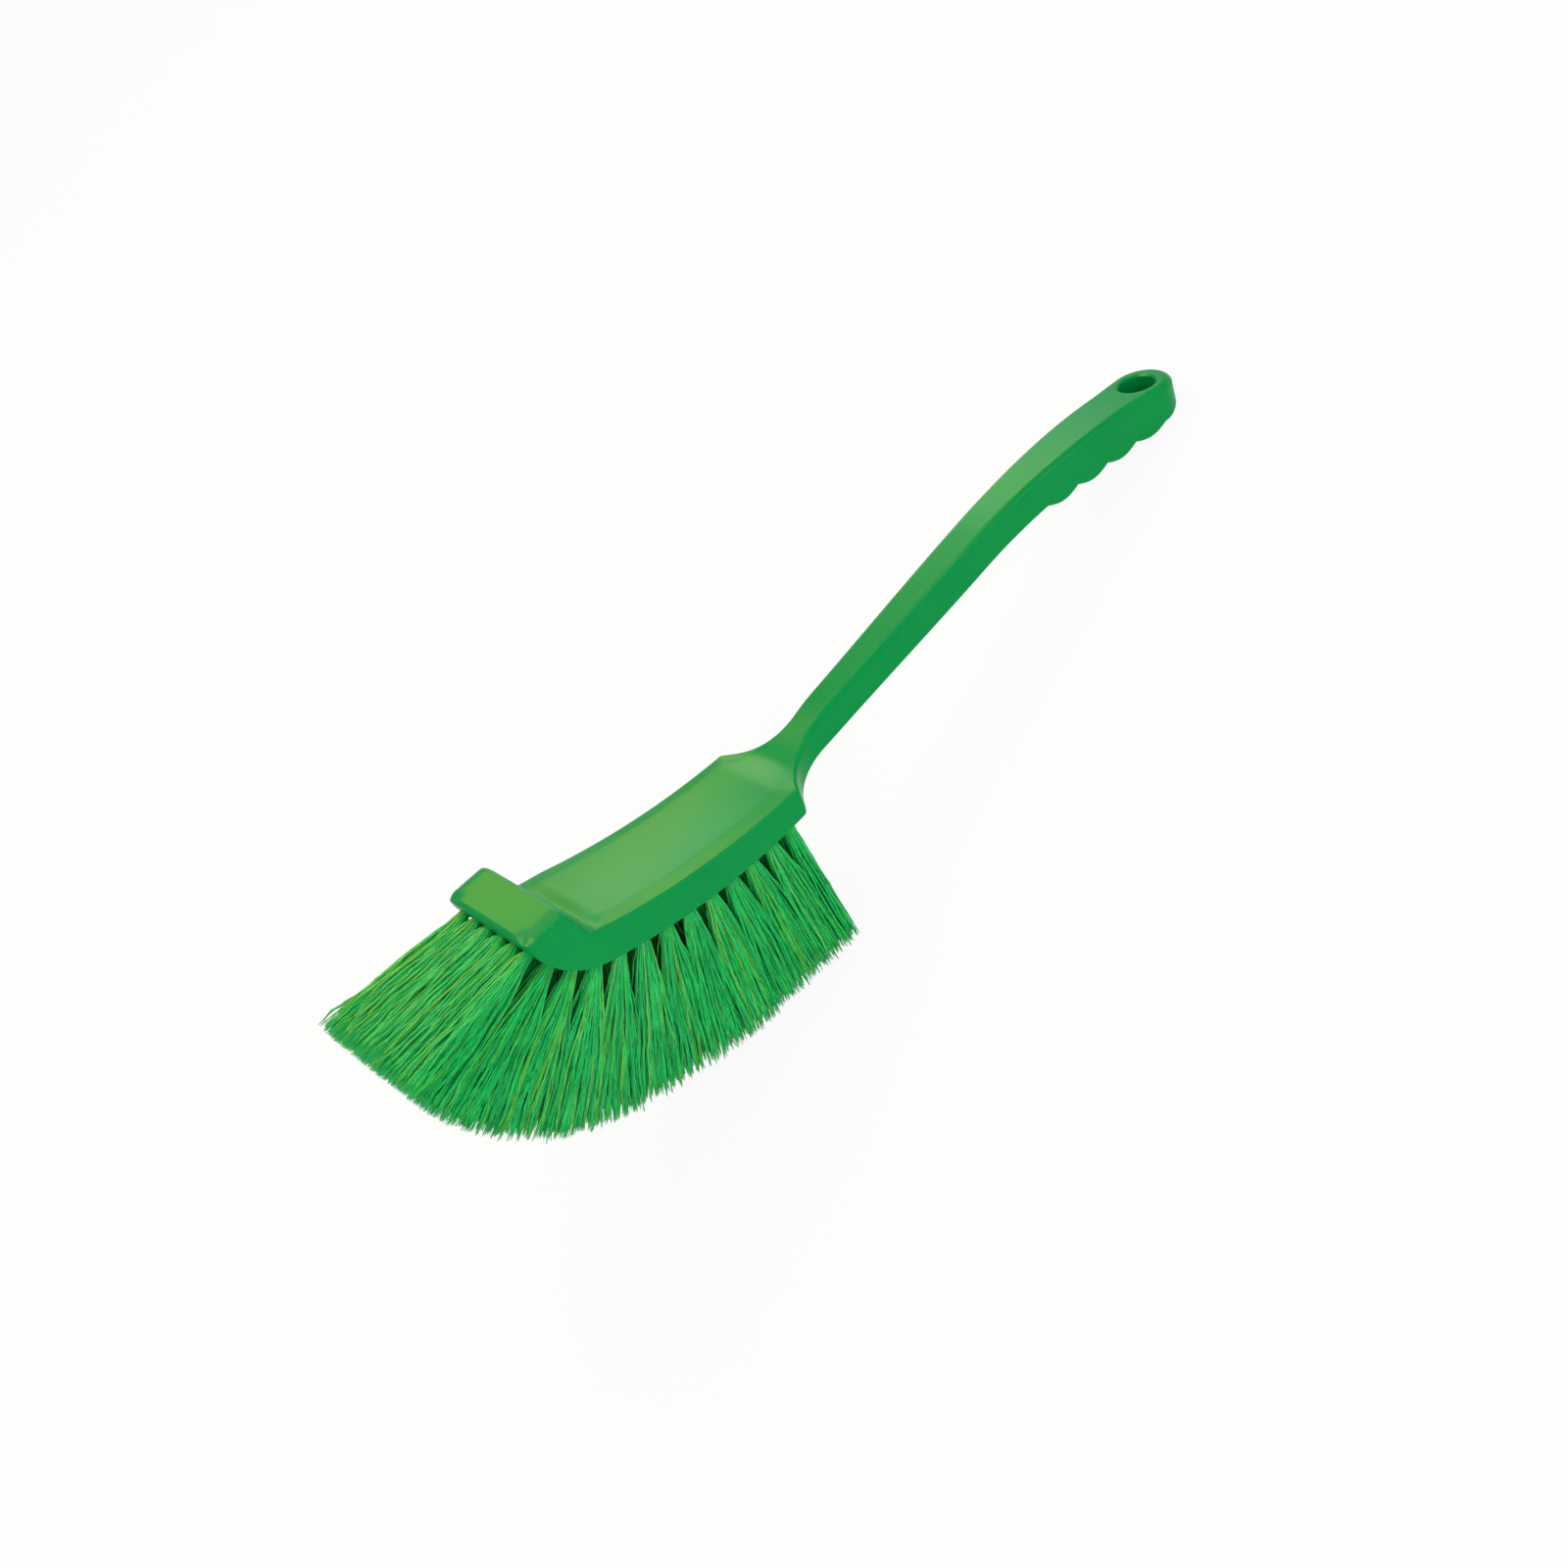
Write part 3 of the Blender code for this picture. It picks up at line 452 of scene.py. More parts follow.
def half_width(x):
    """The head with its front corner, the shoulder, the waist, the handle and the round end."""
    if x < CORNER_END:
        offset = min(CORNER_END - x, HEAD_CORNER_RADIUS)
        return HEAD_FRONT_WIDTH / 2 - HEAD_CORNER_RADIUS + math.sqrt(HEAD_CORNER_RADIUS**2 - offset**2)
    side = mix(HEAD_FRONT_WIDTH, HEAD_REAR_WIDTH, (x - FRONT) / (HEAD_LENGTH - FRONT)) / 2
    if x <= WAIST - WAIST_RADIUS:
        return side
    if x < WAIST:
        waist = NECK_WIDTH / 2 + WAIST_RADIUS - math.sqrt(WAIST_RADIUS**2 - (WAIST - x) ** 2)
        return soft_min(side, waist, SHOULDER_ROUNDING)
    if x > END_CENTRE:
        return math.sqrt(max(END_RADIUS**2 - (x - END_CENTRE) ** 2, 0))
    width = mix(NECK_WIDTH, SHANK_WIDTH, ease(x, WAIST, BEND_START))
    width = mix(width, GRIP_WIDTH, ease(x, BEND_START, LAND_START))
    return mix(width, EYE_WIDTH, ease(x, EYE_START, END_CENTRE)) / 2


outline_x = np.concatenate([
    np.arange(FRONT, END_CENTRE, OUTLINE_STEP),
    END_CENTRE + END_RADIUS * np.sin(np.linspace(0, math.pi / 2, OUTLINE_END_POINTS)),
])
outline_y = np.array([half_width(x) for x in outline_x])


def outline_distances(x, ys):
    """True distances of points of one section from the outline in plan, a fine chain of points."""
    near = np.nonzero(np.abs(outline_x - x) < OUTLINE_REACH)[0]
    low, high = max(near[0] - 1, 0), min(near[-1] + 2, len(outline_x))
    ax, ay = outline_x[low:high - 1], outline_y[low:high - 1]
    bx, by = outline_x[low + 1:high] - ax, outline_y[low + 1:high] - ay
    px, py = x - ax[None, :], ys[:, None] - ay[None, :]
    share = np.clip((px * bx + py * by) / (bx**2 + by**2), 0, 1)
    return np.hypot(px - share * bx, py - share * by).min(axis=1)


def outline_lean(x):
    """How many times longer a step across the section is than the step away from the outline."""
    before, after = max(x - OUTLINE_STEP, FRONT), min(x + OUTLINE_STEP, BODY_LENGTH)
    return math.hypot(1, (half_width(after) - half_width(before)) / (2 * OUTLINE_STEP))


# Sections of the body

def edge_round(distance, width, drop, power):
    """How far a rounded edge lies below the corner that it takes off."""
    if distance >= width:
        return 0
    share = 1 - max(distance, 0) / width
    return drop * (1 - (1 - share**power) ** (1 / power))


def plate_rise(x, distance, y, reach):
    """Height of the plate's border and crown, at a distance from the border's outer edge."""
    front = ease(x, BAR_FOOT, BAR_FOOT_END + BORDER_LEAD)
    rear = 1 - ease(x, HEAD_LENGTH - BORDER_LEAD, HEAD_LENGTH + BORDER_LEAD)
    border = soft_min(max(distance, 0) / BORDER_WIDTH, 1, BORDER_SOFT_SHARE)
    crown = 1 - min(1, y / reach) ** 2
    return (BORDER_RISE * border + PLATE_CROWN * crown) * front * rear


def edge_sizes(x, height):
    """Width, drop and power of the upper edge, and the size of the lower one."""
    handle_share = ease(x, HEAD_LENGTH, WAIST)
    plate_share = ease(x, BAR_LENGTH, BAR_FOOT_END + EDGE_RUNOUT)
    width = mix(mix(BAR_END_WIDTH, HEAD_EDGE, plate_share), HANDLE_EDGE_WIDTH, handle_share)
    drop = mix(mix(BAR_END_DROP, HEAD_EDGE, plate_share), HANDLE_EDGE_DROP, handle_share)
    power = mix(ROUND_EDGE_POWER, FLAT_EDGE_POWER, handle_share)
    lower = mix(BOTTOM_EDGE, GRIP_BOTTOM_EDGE, handle_share)
    most = EDGE_HEIGHT_SHARE * height
    return width, min(drop, most), power, min(lower, most)


def upper_points(x, top, edge_width, edge_drop, power):
    """The top of a section as (y, z) points, from its middle to its edge."""
    width = half_width(x)
    lean = outline_lean(x)
    edge_run = min(edge_width * lean, EDGE_WIDTH_SHARE * width)
    border_run = min(BORDER_WIDTH * lean, BORDER_WIDTH_SHARE * width)
    inner = width - edge_run - border_run
    ys = [inner * share for share in TOP_SHARES]
    ys += [inner + border_run * share for share in BORDER_SHARES]
    ys += [width - edge_run * share for share in EDGE_SHARES]
    distances = outline_distances(x, np.array(ys))
    distances[-1] = 0
    points = []
    for y, distance in zip(ys, distances):
        drop = edge_round(distance, edge_width, edge_drop, power)
        points.append((y, top - drop + plate_rise(x, distance - edge_width, y, inner)))
    return points


def lower_points(x, bottom, edge):
    """The underside of a section as (y, z) points, from its edge to its middle."""
    width = half_width(x)
    edge_run = min(edge * outline_lean(x), EDGE_WIDTH_SHARE * width)
    ys = [width - edge_run * share for share in BOTTOM_SHARES]
    distances = outline_distances(x, np.array(ys))
    distances[0] = 0
    points = []
    for y, distance in zip(ys, distances):
        points.append((y, bottom + edge_round(distance, edge, edge, ROUND_EDGE_POWER)))
    inner = ys[-1]
    return points + [(inner * share, bottom) for share in UNDER_SHARES]


def section(x):
    """Half a cross-section of the body, from the middle of its top round to that of its underside."""
    top, bottom = front_top_height(x), bottom_height(x)
    edge_width, edge_drop, power, lower_edge = edge_sizes(x, top - bottom)
    upper = upper_points(x, top, edge_width, edge_drop, power)
    lower = lower_points(x, bottom, lower_edge)
    high, low = upper[-1][1], lower[0][1]
    side = [(half_width(x), mix(high, low, share)) for share in SIDE_SHARES]
    return upper + side + lower


def stations():
    """Places of the sections along the body."""
    corner_turns = np.linspace(FIRST_CORNER_TURN, math.pi / 2, CORNER_SECTIONS)
    end_turns = np.linspace(0, LAST_END_TURN, END_SECTIONS)
    places = sorted(np.concatenate([
        CORNER_END - HEAD_CORNER_RADIUS * np.cos(corner_turns),
        np.arange(CORNER_END, WAIST, HEAD_SECTION_PITCH)[1:],
        np.arange(WAIST, FINGER_START, HANDLE_SECTION_PITCH),
        np.linspace(FINGER_START, FINGER_END, FINGER_COUNT * FINGER_SECTIONS + 1),
        END_CENTRE + END_RADIUS * np.sin(end_turns),
    ]))
    kept = places[:1]
    for place in places[1:]:
        if place - kept[-1] > SMALLEST_SECTION_GAP:
            kept.append(place)
    return kept


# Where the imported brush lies: its frame follows from the mount on the land at the hole

mount = next(item for item in frame["record"]["mounts"] if item["name"] == "hanging_hole_face")
tilt = math.atan2(mount["axis"][0], mount["axis"][2])
brush = (
    Matrix.Translation(mount["pos_m"])
    @ Matrix.Rotation(tilt, 4, "Y")
    @ Matrix.Translation((-LAND_START - MOUNT_LEAD, 0, -LAND_HEIGHT))
)


def add_camera():
    data = bpy.data.cameras.new("photo_camera")
    data.lens = CAMERA_LENS
    data.sensor_width = CAMERA_SENSOR
    data.clip_end = CAMERA_REACH
    camera = add_object("photo_camera", data)
    camera.matrix_world = brush @ Matrix.Translation(CAMERA_PLACE) @ CAMERA_TURN.to_4x4()
    bpy.context.scene.camera = camera


add_camera()


# Materials

class Nodes:
    """Short calls for making the nodes of a material or of the world."""

    def __init__(self, owner):
        owner.use_nodes = True
        self.tree = owner.node_tree
        self.tree.nodes.clear()

    def add(self, kind, inputs=None, **settings):
        node = self.tree.nodes.new(kind)
        for key, value in settings.items():
            setattr(node, key, value)
        for key, value in (inputs or {}).items():
            if isinstance(value, bpy.types.NodeSocket):
                self.tree.links.new(value, node.inputs[key])
            else:
                node.inputs[key].default_value = value
        return node

    def ramp(self, factor, stops):
        node = self.add("ShaderNodeValToRGB", {"Fac": factor})
        elements = node.color_ramp.elements
        while len(elements) < len(stops):
            elements.new(0.5)
        for element, (place, color) in zip(elements, stops):
            element.position = place
            element.color = (*color, 1)
        return node.outputs["Color"]

    def larger(self, first, second):
        node = self.add("ShaderNodeMath", {0: first, 1: second}, operation="MAXIMUM")
        return node.outputs[0]

    def choice(self, share, first, second):
        return self.add("ShaderNodeMixShader", {0: share, 1: first.outputs[0], 2: second.outputs[0]})

    def finish(self, output, shader):
        self.add(output, {"Surface": shader.outputs[0]})


def body_plastic():
    look = bpy.data.materials.new("body_plastic_look")
    nodes = Nodes(look)
    place = nodes.add("ShaderNodeTexCoord").outputs["Object"]
    tone = nodes.add("ShaderNodeTexNoise", {"Vector": place, "Scale": BODY_TONE_SCALE, "Detail": 3})
    grain = nodes.add("ShaderNodeTexNoise", {"Vector": place, "Scale": BODY_GRAIN_SCALE, "Detail": 2})
    color = nodes.ramp(tone.outputs["Fac"], BODY_COLORS)
    smooth, rough = BODY_ROUGHNESS
    roughness = nodes.add("ShaderNodeMapRange", {
        "Value": grain.outputs["Fac"],
        "To Min": smooth,
        "To Max": rough,
    })
    bump = nodes.add("ShaderNodeBump", {
        "Height": grain.outputs["Fac"],
        "Strength": BODY_GRAIN_STRENGTH,
        "Distance": BODY_GRAIN_HEIGHT,
    })
    shader = nodes.add("ShaderNodeBsdfPrincipled", {
        "Base Color": color,
        "Roughness": roughness.outputs["Result"],
        "Normal": bump.outputs["Normal"],
        "Specular IOR Level": BODY_SPECULAR,
    })
    nodes.finish("ShaderNodeOutputMaterial", shader)
    return look


def bristle_plastic():
    look = bpy.data.materials.new("bristle_plastic_look")
    nodes = Nodes(look)
    place = nodes.add("ShaderNodeTexCoord").outputs["Object"]
    filament = nodes.add("ShaderNodeAttribute", attribute_name="tone").outputs["Fac"]
    # The ramp's upper stops paint highlight streaks and glints on some clumps of filaments
    color = nodes.ramp(filament, BRISTLE_TONES_AND_HIGHLIGHTS)
    tone = nodes.add("ShaderNodeTexNoise", {"Vector": place, "Scale": BRISTLE_SHADE_SCALE, "Detail": 3})
    shade = nodes.ramp(tone.outputs["Fac"], BRISTLE_SHADES)
    shaded = nodes.add("ShaderNodeMix", {
        "Factor": 1,
        MIX_FIRST_COLOR: color,
        MIX_SECOND_COLOR: shade,
    }, data_type="RGBA", blend_type="MULTIPLY")
    shader = nodes.add("ShaderNodeBsdfPrincipled", {
        "Base Color": shaded.outputs[MIX_COLOR_RESULT],
        "Roughness": BRISTLE_ROUGHNESS,
        "Specular IOR Level": BRISTLE_SPECULAR,
    })
    nodes.finish("ShaderNodeOutputMaterial", shader)
    return look


def floor_white():
    """White paint that glows for the camera, in the gloss and through glass."""
    look = bpy.data.materials.new("floor_white_look")
    nodes = Nodes(look)
    ray = nodes.add("ShaderNodeLightPath").outputs
    seen = nodes.add("ShaderNodeMath", {
        0: ray["Is Camera Ray"],
        1: FLOOR_SEEN_SHARE,
    }, operation="MULTIPLY")
    glossy = nodes.larger(seen.outputs[0], ray["Is Glossy Ray"])
    glowing = nodes.larger(glossy, ray["Is Transmission Ray"])
    paint = nodes.add("ShaderNodeBsdfDiffuse", {"Color": FLOOR_PAINT})
    glow = nodes.add("ShaderNodeEmission", {"Color": WHITE, "Strength": 1})
    nodes.finish("ShaderNodeOutputMaterial", nodes.choice(glowing, paint, glow))
    return look


body_look = body_plastic()
bristle_look = bristle_plastic()


def add_piece(name, data, look, node):
    data.materials.append(look)
    data.shade_smooth()
    piece = add_object(name, data)
    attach(piece, "root")
    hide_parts(node)


# Places of the tufts

HEEL_ANGLE = math.asin((HEAD_LENGTH - UNDERSIDE_LOW_POINT) / UNDERSIDE_RADIUS)
NOSE_RUN = NOSE_RADIUS * (NOSE_TOP_ANGLE - NOSE_JOIN_ANGLE)
UNDERSIDE_RUN = NOSE_RUN + UNDERSIDE_RADIUS * (NOSE_JOIN_ANGLE + HEEL_ANGLE)
FIRST_ROW = FIRST_ROW_INSET
LAST_ROW = UNDERSIDE_RUN - LAST_ROW_INSET
ROW_PITCH = (LAST_ROW - FIRST_ROW) / (TUFT_ROWS - 1)
CORE_PITCH = (LAST_ROW - FIRST_ROW) / (CORE_ROWS + 1)
TUFT_PITCH = 2 * (HEAD_REAR_WIDTH / 2 - SIDE_ROW_INSET) / (RIM_TUFTS_ACROSS - 1)


class Root(NamedTuple):
    """A tuft's place, as the run along the underside from its front and y, and half of its cell's sizes."""
    run: float
    y: float
    half_along: float
    half_across: float


def underside_points(run):
    """Points (x, z) of the underside's middle line, for a run or an array of runs."""
    on_nose = run < NOSE_RUN
    angle = np.where(on_nose, NOSE_TOP_ANGLE - run / NOSE_RADIUS,
                     (run - NOSE_RUN) / UNDERSIDE_RADIUS - NOSE_JOIN_ANGLE)
    x = np.where(on_nose, NOSE_CENTRE_X - NOSE_RADIUS * np.sin(angle),
                 UNDERSIDE_LOW_POINT + UNDERSIDE_RADIUS * np.sin(angle))
    z = np.where(on_nose, NOSE_CENTRE_Z - NOSE_RADIUS * np.cos(angle),
                 UNDERSIDE_CENTRE_Z - UNDERSIDE_RADIUS * np.cos(angle))
    return x, z


def row_share(run):
    """0 at the first row and 1 at the last."""
    return (run - FIRST_ROW) / (LAST_ROW - FIRST_ROW)


def fan_angles(run):
    share = np.maximum(0, 1 - row_share(run))
    return REAR_TUFT_ANGLE - (REAR_TUFT_ANGLE - FRONT_TUFT_ANGLE) * share**FAN_POWER


def fan_points(run, y, reach):
    """Points of the pile, for arrays of runs, ys and reaches from 0 at the root to 1 at the trim."""
    x, z = underside_points(run)
    angle = fan_angles(run)
    along_x, along_z = np.cos(angle) / TRIM_HALF_LENGTH, np.sin(angle) / TRIM_HALF_HEIGHT
    across_x, across_z = (x - TRIM_CENTRE_X) / TRIM_HALF_LENGTH, (z - TRIM_CENTRE_Z) / TRIM_HALF_HEIGHT
    square = along_x**2 + along_z**2
    linear = across_x * along_x + across_z * along_z
    length = (np.sqrt(linear**2 - square * (across_x**2 + across_z**2 - 1)) - linear) / square
    out = length * reach
    spread = 1 + (TIP_SPREAD - 1) * reach
    return np.stack([x + out * np.cos(angle), y * spread, z + out * np.sin(angle)], axis=-1)


def side_row_y(run):
    """How far the side rows lie from the middle, as if the head had no rounded corners."""
    x = float(underside_points(run)[0])
    return half_width(x + HEAD_CORNER_RADIUS) - SIDE_ROW_INSET


def root_row(run, count, pitch, half_along, half_across):
    middle = (count - 1) / 2
    return [Root(run, pitch * (column - middle), half_along, half_across) for column in range(count)]


def rim_roots():
    """The outer ring: a full row at the front and the rear, and the two side tufts of the other rows."""
    roots = []
    for row in range(TUFT_ROWS):
        run = FIRST_ROW + row * ROW_PITCH
        width = 2 * side_row_y(run)
        if row in (0, TUFT_ROWS - 1):
            pitch = width / (RIM_TUFTS_ACROSS - 1)
            roots += root_row(run, RIM_TUFTS_ACROSS, pitch, ROW_PITCH / 2, pitch / 2)
        else:
            roots += root_row(run, 2, width, ROW_PITCH / 2, TUFT_PITCH / 2)
    return roots


def core_roots():
    """The inner tufts, in rows of three and of two in turn."""
    roots = []
    most = max(CORE_TUFTS_ACROSS)
    for row in range(CORE_ROWS):
        run = FIRST_ROW + (row + 1) * CORE_PITCH
        count = CORE_TUFTS_ACROSS[row % len(CORE_TUFTS_ACROSS)]
        pitch = 2 * side_row_y(run) / (most + 1)
        half_across = pitch / 2
        if count < most:
            pitch *= CORE_PAIR_SHARE
            half_across = pitch / 2 * PAIR_CELL_SHARE
        roots += root_row(run, count, pitch, CORE_PITCH / 2, half_across)
    return roots


def tuft_matrix(root):
    """The tuft's own directions: across the head, along the head and out along the bristles."""
    ends = fan_points(np.full(2, root.run), np.full(2, root.y), np.array([0.0, 1.0]))
    foot, tip = Vector(ends[0]), Vector(ends[1])
    out = (tip - foot).normalized()
    angle = fan_angles(root.run)
    along = Vector((-math.sin(angle), 0, math.cos(angle)))
    along = (along - out * along.dot(out)).normalized()
    turn = Matrix((along.cross(out), along, out)).transposed().to_4x4()
    return Matrix.Translation(foot) @ turn


# The moulded body

def ring_points(radius, z, sides):
    turns = [2 * math.pi * (index + 0.5) / sides for index in range(sides)]
    return [Vector((radius * math.cos(turn), radius * math.sin(turn), z)) for turn in turns]


def add_loops(mesh, loops):
    """A closed skin over loops of points, the last of which may be a single point."""
    rings = [[mesh.verts.new(point) for point in loop] for loop in loops]
    for ring, following in zip(rings, rings[1:]):
        sides = max(len(ring), len(following))
        for index in range(sides):
            after = (index + 1) % sides
            corners = [ring[index % len(ring)], ring[after % len(ring)],
                       following[after % len(following)], following[index % len(following)]]
            mesh.faces.new(list(dict.fromkeys(corners)))
    for ring in (rings[0], rings[-1]):
        if len(ring) > 2:
            mesh.faces.new(ring)


def mesh_from(mesh, name):
    bmesh.ops.recalc_face_normals(mesh, faces=mesh.faces)
    data = bpy.data.meshes.new(name)
    mesh.to_mesh(data)
    mesh.free()
    return data


def body_skin():
    mesh = bmesh.new()
    rings = []
    for x in stations():
        half = section(x)
        mirrored = [(-y, z) for y, z in reversed(half[1:-1])]
        rings.append([mesh.verts.new((x, y, z)) for y, z in half + mirrored])
    for ring, following in zip(rings, rings[1:]):
        for index in range(len(ring)):
            after = (index + 1) % len(ring)
            mesh.faces.new((ring[index], following[index], following[after], ring[after]))
    mesh.faces.new(rings[0])
    mesh.faces.new(rings[-1])
    return mesh_from(mesh, "moulded_body")


def hang_hole_mesh():
    """The cutter of the hanging hole, which widens over the chamfer."""
    wide = HANG_HOLE_RADIUS + HANG_HOLE_CHAMFER + CUTTER_OVERHANG
    levels = (
        (HANG_HOLE_RADIUS, LAND_HEIGHT - GRIP_DEPTH - FINGER_SWELL - CUTTER_OVERHANG),
        (HANG_HOLE_RADIUS, LAND_HEIGHT - HANG_HOLE_CHAMFER),
        (wide, LAND_HEIGHT + CUTTER_OVERHANG),
    )
    place = Vector((HANG_HOLE_CENTRE, 0, 0))
    loops = []
    for radius, z in levels:
        loops.append([place + point for point in ring_points(radius, z, HANG_HOLE_SIDES)])
    mesh = bmesh.new()
    add_loops(mesh, loops)
    return mesh_from(mesh, "hole_cutter")


def tuft_holes_mesh(roots):
    """The cutter of the drilled holes, each with its point."""
    loops = (
        ring_points(TUFT_HOLE_RADIUS, CUTTER_OVERHANG, TUFT_HOLE_SIDES),
        ring_points(TUFT_HOLE_RADIUS, -TUFT_HOLE_DEPTH, TUFT_HOLE_SIDES),
        [Vector((0, 0, -TUFT_HOLE_DEPTH - DRILL_POINT))],
    )
    mesh = bmesh.new()
    for root in roots:
        matrix = tuft_matrix(root)
        add_loops(mesh, [[matrix @ point for point in loop] for loop in loops])
    return mesh_from(mesh, "tuft_cutter")


def cut(item, cutter_mesh):
    cutter = add_object(cutter_mesh.name, cutter_mesh)
    modifier = item.modifiers.new("cut", "BOOLEAN")
    modifier.operation = "DIFFERENCE"
    modifier.solver = "EXACT"
    modifier.object = cutter
    bpy.context.view_layer.update()
    evaluated = item.evaluated_get(bpy.context.evaluated_depsgraph_get())
    data = bpy.data.meshes.new_from_object(evaluated)
    item.modifiers.remove(modifier)
    item.data = data
    bpy.data.objects.remove(cutter)


def add_body(roots):
    item = add_object("body_blank", body_skin())
    cut(item, hang_hole_mesh())
    cut(item, tuft_holes_mesh(roots))
    data = item.data
    data.transform(brush)
    data.name = "moulded_body"
    data.materials.clear()
    bpy.data.objects.remove(item)
    add_piece("moulded_body", data, body_look, "brush_body")
    data.set_sharp_from_angle(angle=SHARP_ANGLE)


# The filaments of a tuft

def clump_places(rng):
    """The filaments' clumps, spread evenly over a disc of radius 1 and over the square round it."""
    clump = np.arange(CLUMPS)
    radius = np.sqrt((clump + 0.5) / CLUMPS)
    turn = clump * math.pi * GOLDEN_HALF_TURNS + rng.uniform(0, 2 * math.pi)
    disc = np.stack([radius * np.cos(turn), radius * np.sin(turn)], axis=-1)
    square = disc / np.maximum(np.abs(np.cos(turn)), np.abs(np.sin(turn)))[:, None]
    return np.repeat(disc, CLUMP_FILAMENTS, axis=0), np.repeat(square, CLUMP_FILAMENTS, axis=0)


def clump_spray(rng):
    """How far each filament lies from the middle of its clump."""
    turn = rng.uniform(0, 2 * math.pi, FILAMENTS)
    spray = np.stack([np.cos(turn), np.sin(turn)], axis=-1)
    return spray * (CLUMP_SHARE * np.sqrt(rng.uniform(0, 1, FILAMENTS)))[:, None]


def filament_reaches(run, rng):
    """How far each filament reaches, ragged by clump and by filament."""
    ragged = np.repeat(rng.uniform(0, 1, CLUMPS) ** 2, CLUMP_FILAMENTS)
    reach = REACH_SHARE - CLUMP_RAGGED_SHARE * ragged
    reach *= 1 - FILAMENT_RAGGED_SHARE * rng.uniform(0, 1, FILAMENTS)
    reach *= np.interp((run - FIRST_ROW) / ROW_PITCH, np.arange(TUFT_ROWS), ROW_REACH_SHARES)
    return reach


def tip_places(root, square, spray):
    """Where each filament ends in the tuft's cell, and the power by which it opens, across and along."""
    run, y, half_along, half_across = root
    closing = mix(1, CLUMP_TIP_SHARE, ease(LEVEL_SHARES, CLOSING_START_SHARE, 1))
    halves = np.array([half_across, half_along]) * CELL_SHARE
    places = (square[:, None, :] + spray[:, None, :] * closing[:, None]) * halves
    powers = np.full((FILAMENTS, 1, 2), OPENING_POWER)
    if run < FIRST_ROW + ROW_PITCH / 2:
        places[..., 1] *= np.where(places[..., 1] < 0, FRONT_CELL_SHARE, 1)
    if run > LAST_ROW - ROW_PITCH / 2:
        places[..., 1] *= np.where(places[..., 1] > 0, REAR_CELL_SHARE, 1)
    if run < FIRST_ROW + NOSE_OPENING_ROWS * ROW_PITCH:
        powers[..., 0] = NOSE_OPENING_POWER
    if abs(y) + half_across > side_row_y(run):
        outer = square[:, 0] * y > 0
        places[outer, :, 0] *= mix(*SIDE_CELL_SHARES, row_share(run) ** SIDE_CELL_POWER)
        powers[outer, :, 0] = OUTER_OPENING_POWER
    return places, powers


def filament_waves(rng):
    """Waves of the clumps and of the filaments, across and along."""
    phase = rng.uniform(0, 2 * math.pi, (CLUMPS, 1, 2))
    turns = rng.uniform(*CLUMP_BEND_TURNS, (CLUMPS, 1, 2)) * 2 * math.pi
    waves = CLUMP_BEND * np.sin(phase + turns * LEVEL_SHARES[:, None])
    waves += rng.normal(0, 1, (CLUMPS, FILAMENT_LEVELS, 2)) * CLUMP_WAVE
    waves = np.repeat(waves, CLUMP_FILAMENTS, axis=0)
    waves += rng.normal(0, 1, (FILAMENTS, FILAMENT_LEVELS, 2)) * FILAMENT_WAVE
    return waves * ease(LEVEL_SHARES, *WAVE_START_SHARES)[:, None]


def tuft_points(root, places, out):
    """Points of a tuft, from places across and along it and lengths out of its hole."""
    matrix = tuft_matrix(root)
    base = np.array(matrix.translation)
    across, along, outward = (np.array(matrix.col[index][:3]) for index in range(3))
    return base + places[..., :1] * across + places[..., 1:] * along + out * outward


def filament_paths(root, rng):
    """Middle lines of a tuft's filaments, as an array of filament, level and coordinate."""
    disc, square = clump_places(rng)
    spray = clump_spray(rng)
    reach = filament_reaches(root.run, rng)
    root_places = (disc + spray)[:, None, :] * ROOT_BUNDLE_RADIUS
    tips, powers = tip_places(root, square, spray)
    places = mix(root_places, tips, 1 - (1 - LEVEL_SHARES[:, None]) ** powers)
    places = places + filament_waves(rng)
    fan = fan_points(root.run + places[..., 1], root.y + places[..., 0], LEVEL_SHARES * reach[:, None])

    length = np.linalg.norm(fan[:, -1] - fan[:, 0], axis=1)
    straight = tuft_points(root, places, (length[:, None] * LEVEL_SHARES)[..., None])
    paths = mix(straight, fan, ease(LEVEL_SHARES, 0, TURN_SHARE)[:, None])
    foot = tuft_points(root, root_places, -ROOT_FOOT)
    return np.concatenate([foot, paths], axis=1)


def filament_tones_and_streaks(rng):
    """A tone from 0 to 1 for each filament, nearly the same within a clump; the highest tones give painted
    highlight streaks and glints.
    """
    tones = np.repeat(rng.uniform(0, 1, CLUMPS), CLUMP_FILAMENTS)
    tones += rng.uniform(-FILAMENT_TONE_SHARE, FILAMENT_TONE_SHARE, len(tones))
    return np.clip(tones, 0, 1)


def filament_points(paths):
    """Corners of the sections round the middle lines, kept above the floor."""
    along = np.gradient(paths, axis=1)
    along /= np.linalg.norm(along, axis=2, keepdims=True)
    side = np.cross(along, SIDE_REFERENCE)
    side /= np.linalg.norm(side, axis=2, keepdims=True)
    other = np.cross(along, side)
    radius = np.full(paths.shape[1], FILAMENT_RADIUS)
    radius[-1] *= TIP_RADIUS_SHARE
    spin = np.arange(FILAMENT_SIDES) * 2 * math.pi / FILAMENT_SIDES
    ring = side[:, :, None, :] * np.cos(spin)[:, None] + other[:, :, None, :] * np.sin(spin)[:, None]
    points = paths[:, :, None, :] + ring * radius[None, :, None, None]
    points[..., 2] = np.maximum(points[..., 2], FLOOR_CLEARANCE)
    return points.reshape(-1, 3)


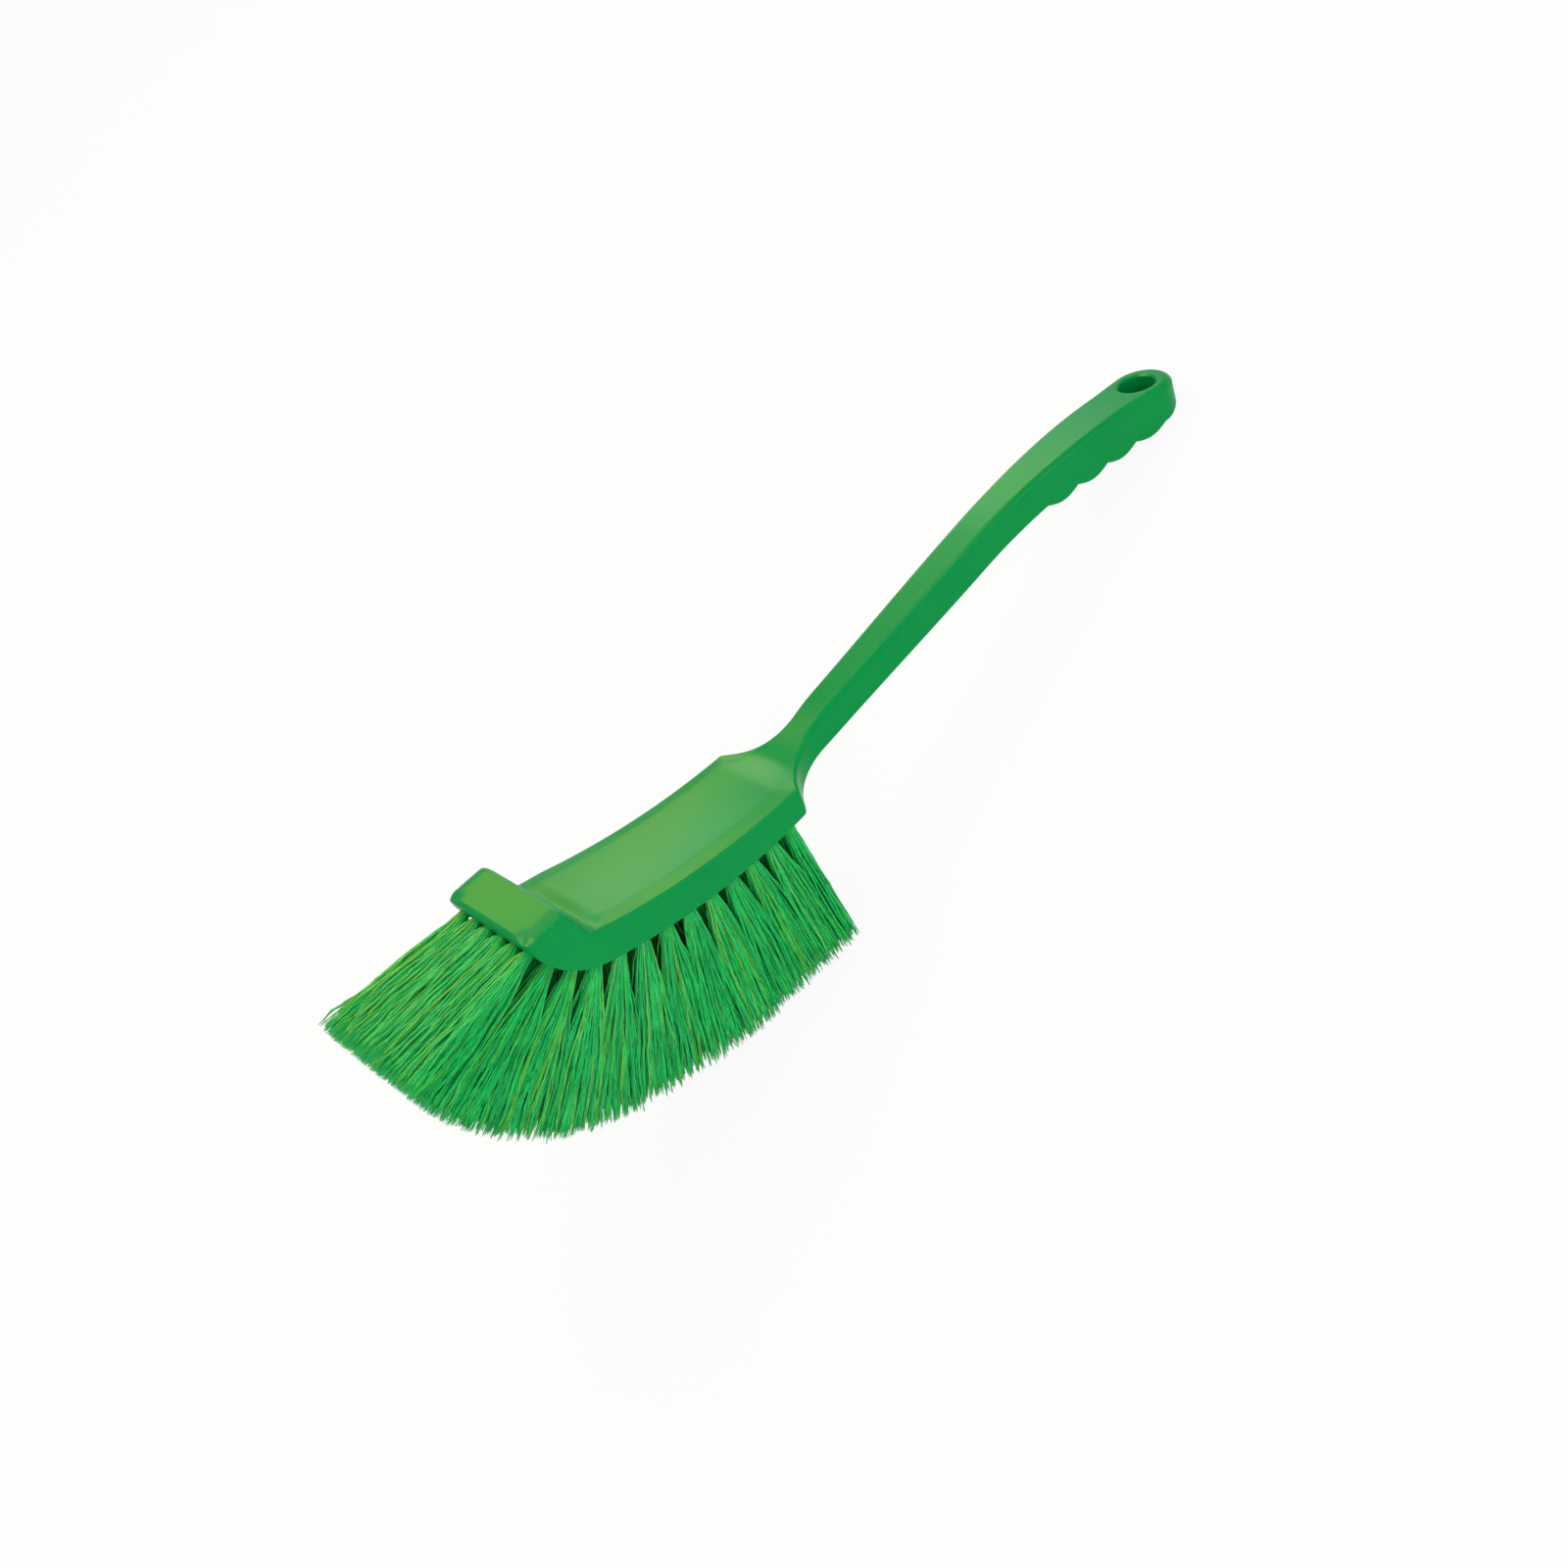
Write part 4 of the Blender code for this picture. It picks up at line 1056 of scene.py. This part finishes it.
def filament_faces(count, levels):
    """The sides, feet and tips of the filaments, as lists of their corners' numbers."""
    starts = np.arange(count)[:, None] * levels * FILAMENT_SIDES
    near = starts[:, :, None] + np.arange(levels - 1)[None, :, None] * FILAMENT_SIDES
    far = near + FILAMENT_SIDES
    corner = np.arange(FILAMENT_SIDES)
    after = (corner + 1) % FILAMENT_SIDES
    sides = np.stack([near + corner, near + after, far + after, far + corner], axis=-1)
    feet = starts + corner[::-1]
    tips = starts + (levels - 1) * FILAMENT_SIDES + corner
    return sides.reshape(-1, 4).tolist() + feet.tolist() + tips.tolist()


def filament_mesh(name, paths, tones):
    """Closed filaments round their middle lines, with the tone of each as an attribute, which also picks
    their painted highlight streaks.
    """
    turn, place = np.array(brush.to_3x3()), np.array(brush.translation)
    paths = paths @ turn.T + place
    count, levels = paths.shape[:2]
    data = bpy.data.meshes.new(name)
    data.from_pydata(filament_points(paths).tolist(), [], filament_faces(count, levels))
    tone = data.attributes.new("tone", "FLOAT", "POINT")
    tone.data.foreach_set("value", np.repeat(tones, levels * FILAMENT_SIDES))
    return data


def add_tufts(prefix, roots, seed):
    for number, root in enumerate(roots, start=1):
        rng = np.random.default_rng(seed + number)
        name = f"{prefix}_bristles_{number:02d}"
        paths = filament_paths(root, rng)
        data = filament_mesh(name, paths, filament_tones_and_streaks(rng))
        add_piece(name, data, bristle_look, f"{prefix}_tuft_{number:02d}")


rim = rim_roots()
core = core_roots()
add_body(rim + core)
add_tufts("rim", rim, 0)
add_tufts("core", core, CORE_SEED)


# Floor, light and background

def add_floor():
    mesh = bmesh.new()
    bmesh.ops.create_grid(mesh, x_segments=1, y_segments=1, size=FLOOR_HALF_SIZE)
    floor = add_object("studio_floor", mesh_from(mesh, "studio_floor"))
    floor.data.materials.append(floor_white())


def add_world():
    """A white background with a softer light of its own."""
    world = bpy.data.worlds.new("studio")
    bpy.context.scene.world = world
    nodes = Nodes(world)
    seen = nodes.add("ShaderNodeLightPath").outputs["Is Camera Ray"]
    light = nodes.add("ShaderNodeBackground", {"Color": WHITE, "Strength": ROOM_LIGHT})
    background = nodes.add("ShaderNodeBackground", {"Color": WHITE, "Strength": 1})
    nodes.finish("ShaderNodeOutputWorld", nodes.choice(seen, light, background))


def add_lamp(name, size, power, color, place, target):
    data = bpy.data.lights.new(name, "AREA")
    data.shape = "SQUARE"
    data.size = size
    data.energy = power
    data.color = color
    lamp = add_object(name, data)
    lamp.location = place
    lamp.rotation_euler = (Vector(target) - Vector(place)).to_track_quat("-Z", "Y").to_euler()
    return lamp


add_floor()
add_world()
for values in LAMPS:
    add_lamp(*values)
for values in CARDS:
    card = add_lamp(*values)
    card.visible_diffuse = False
    card.visible_camera = False
bpy.context.scene.view_settings.view_transform = "Standard"
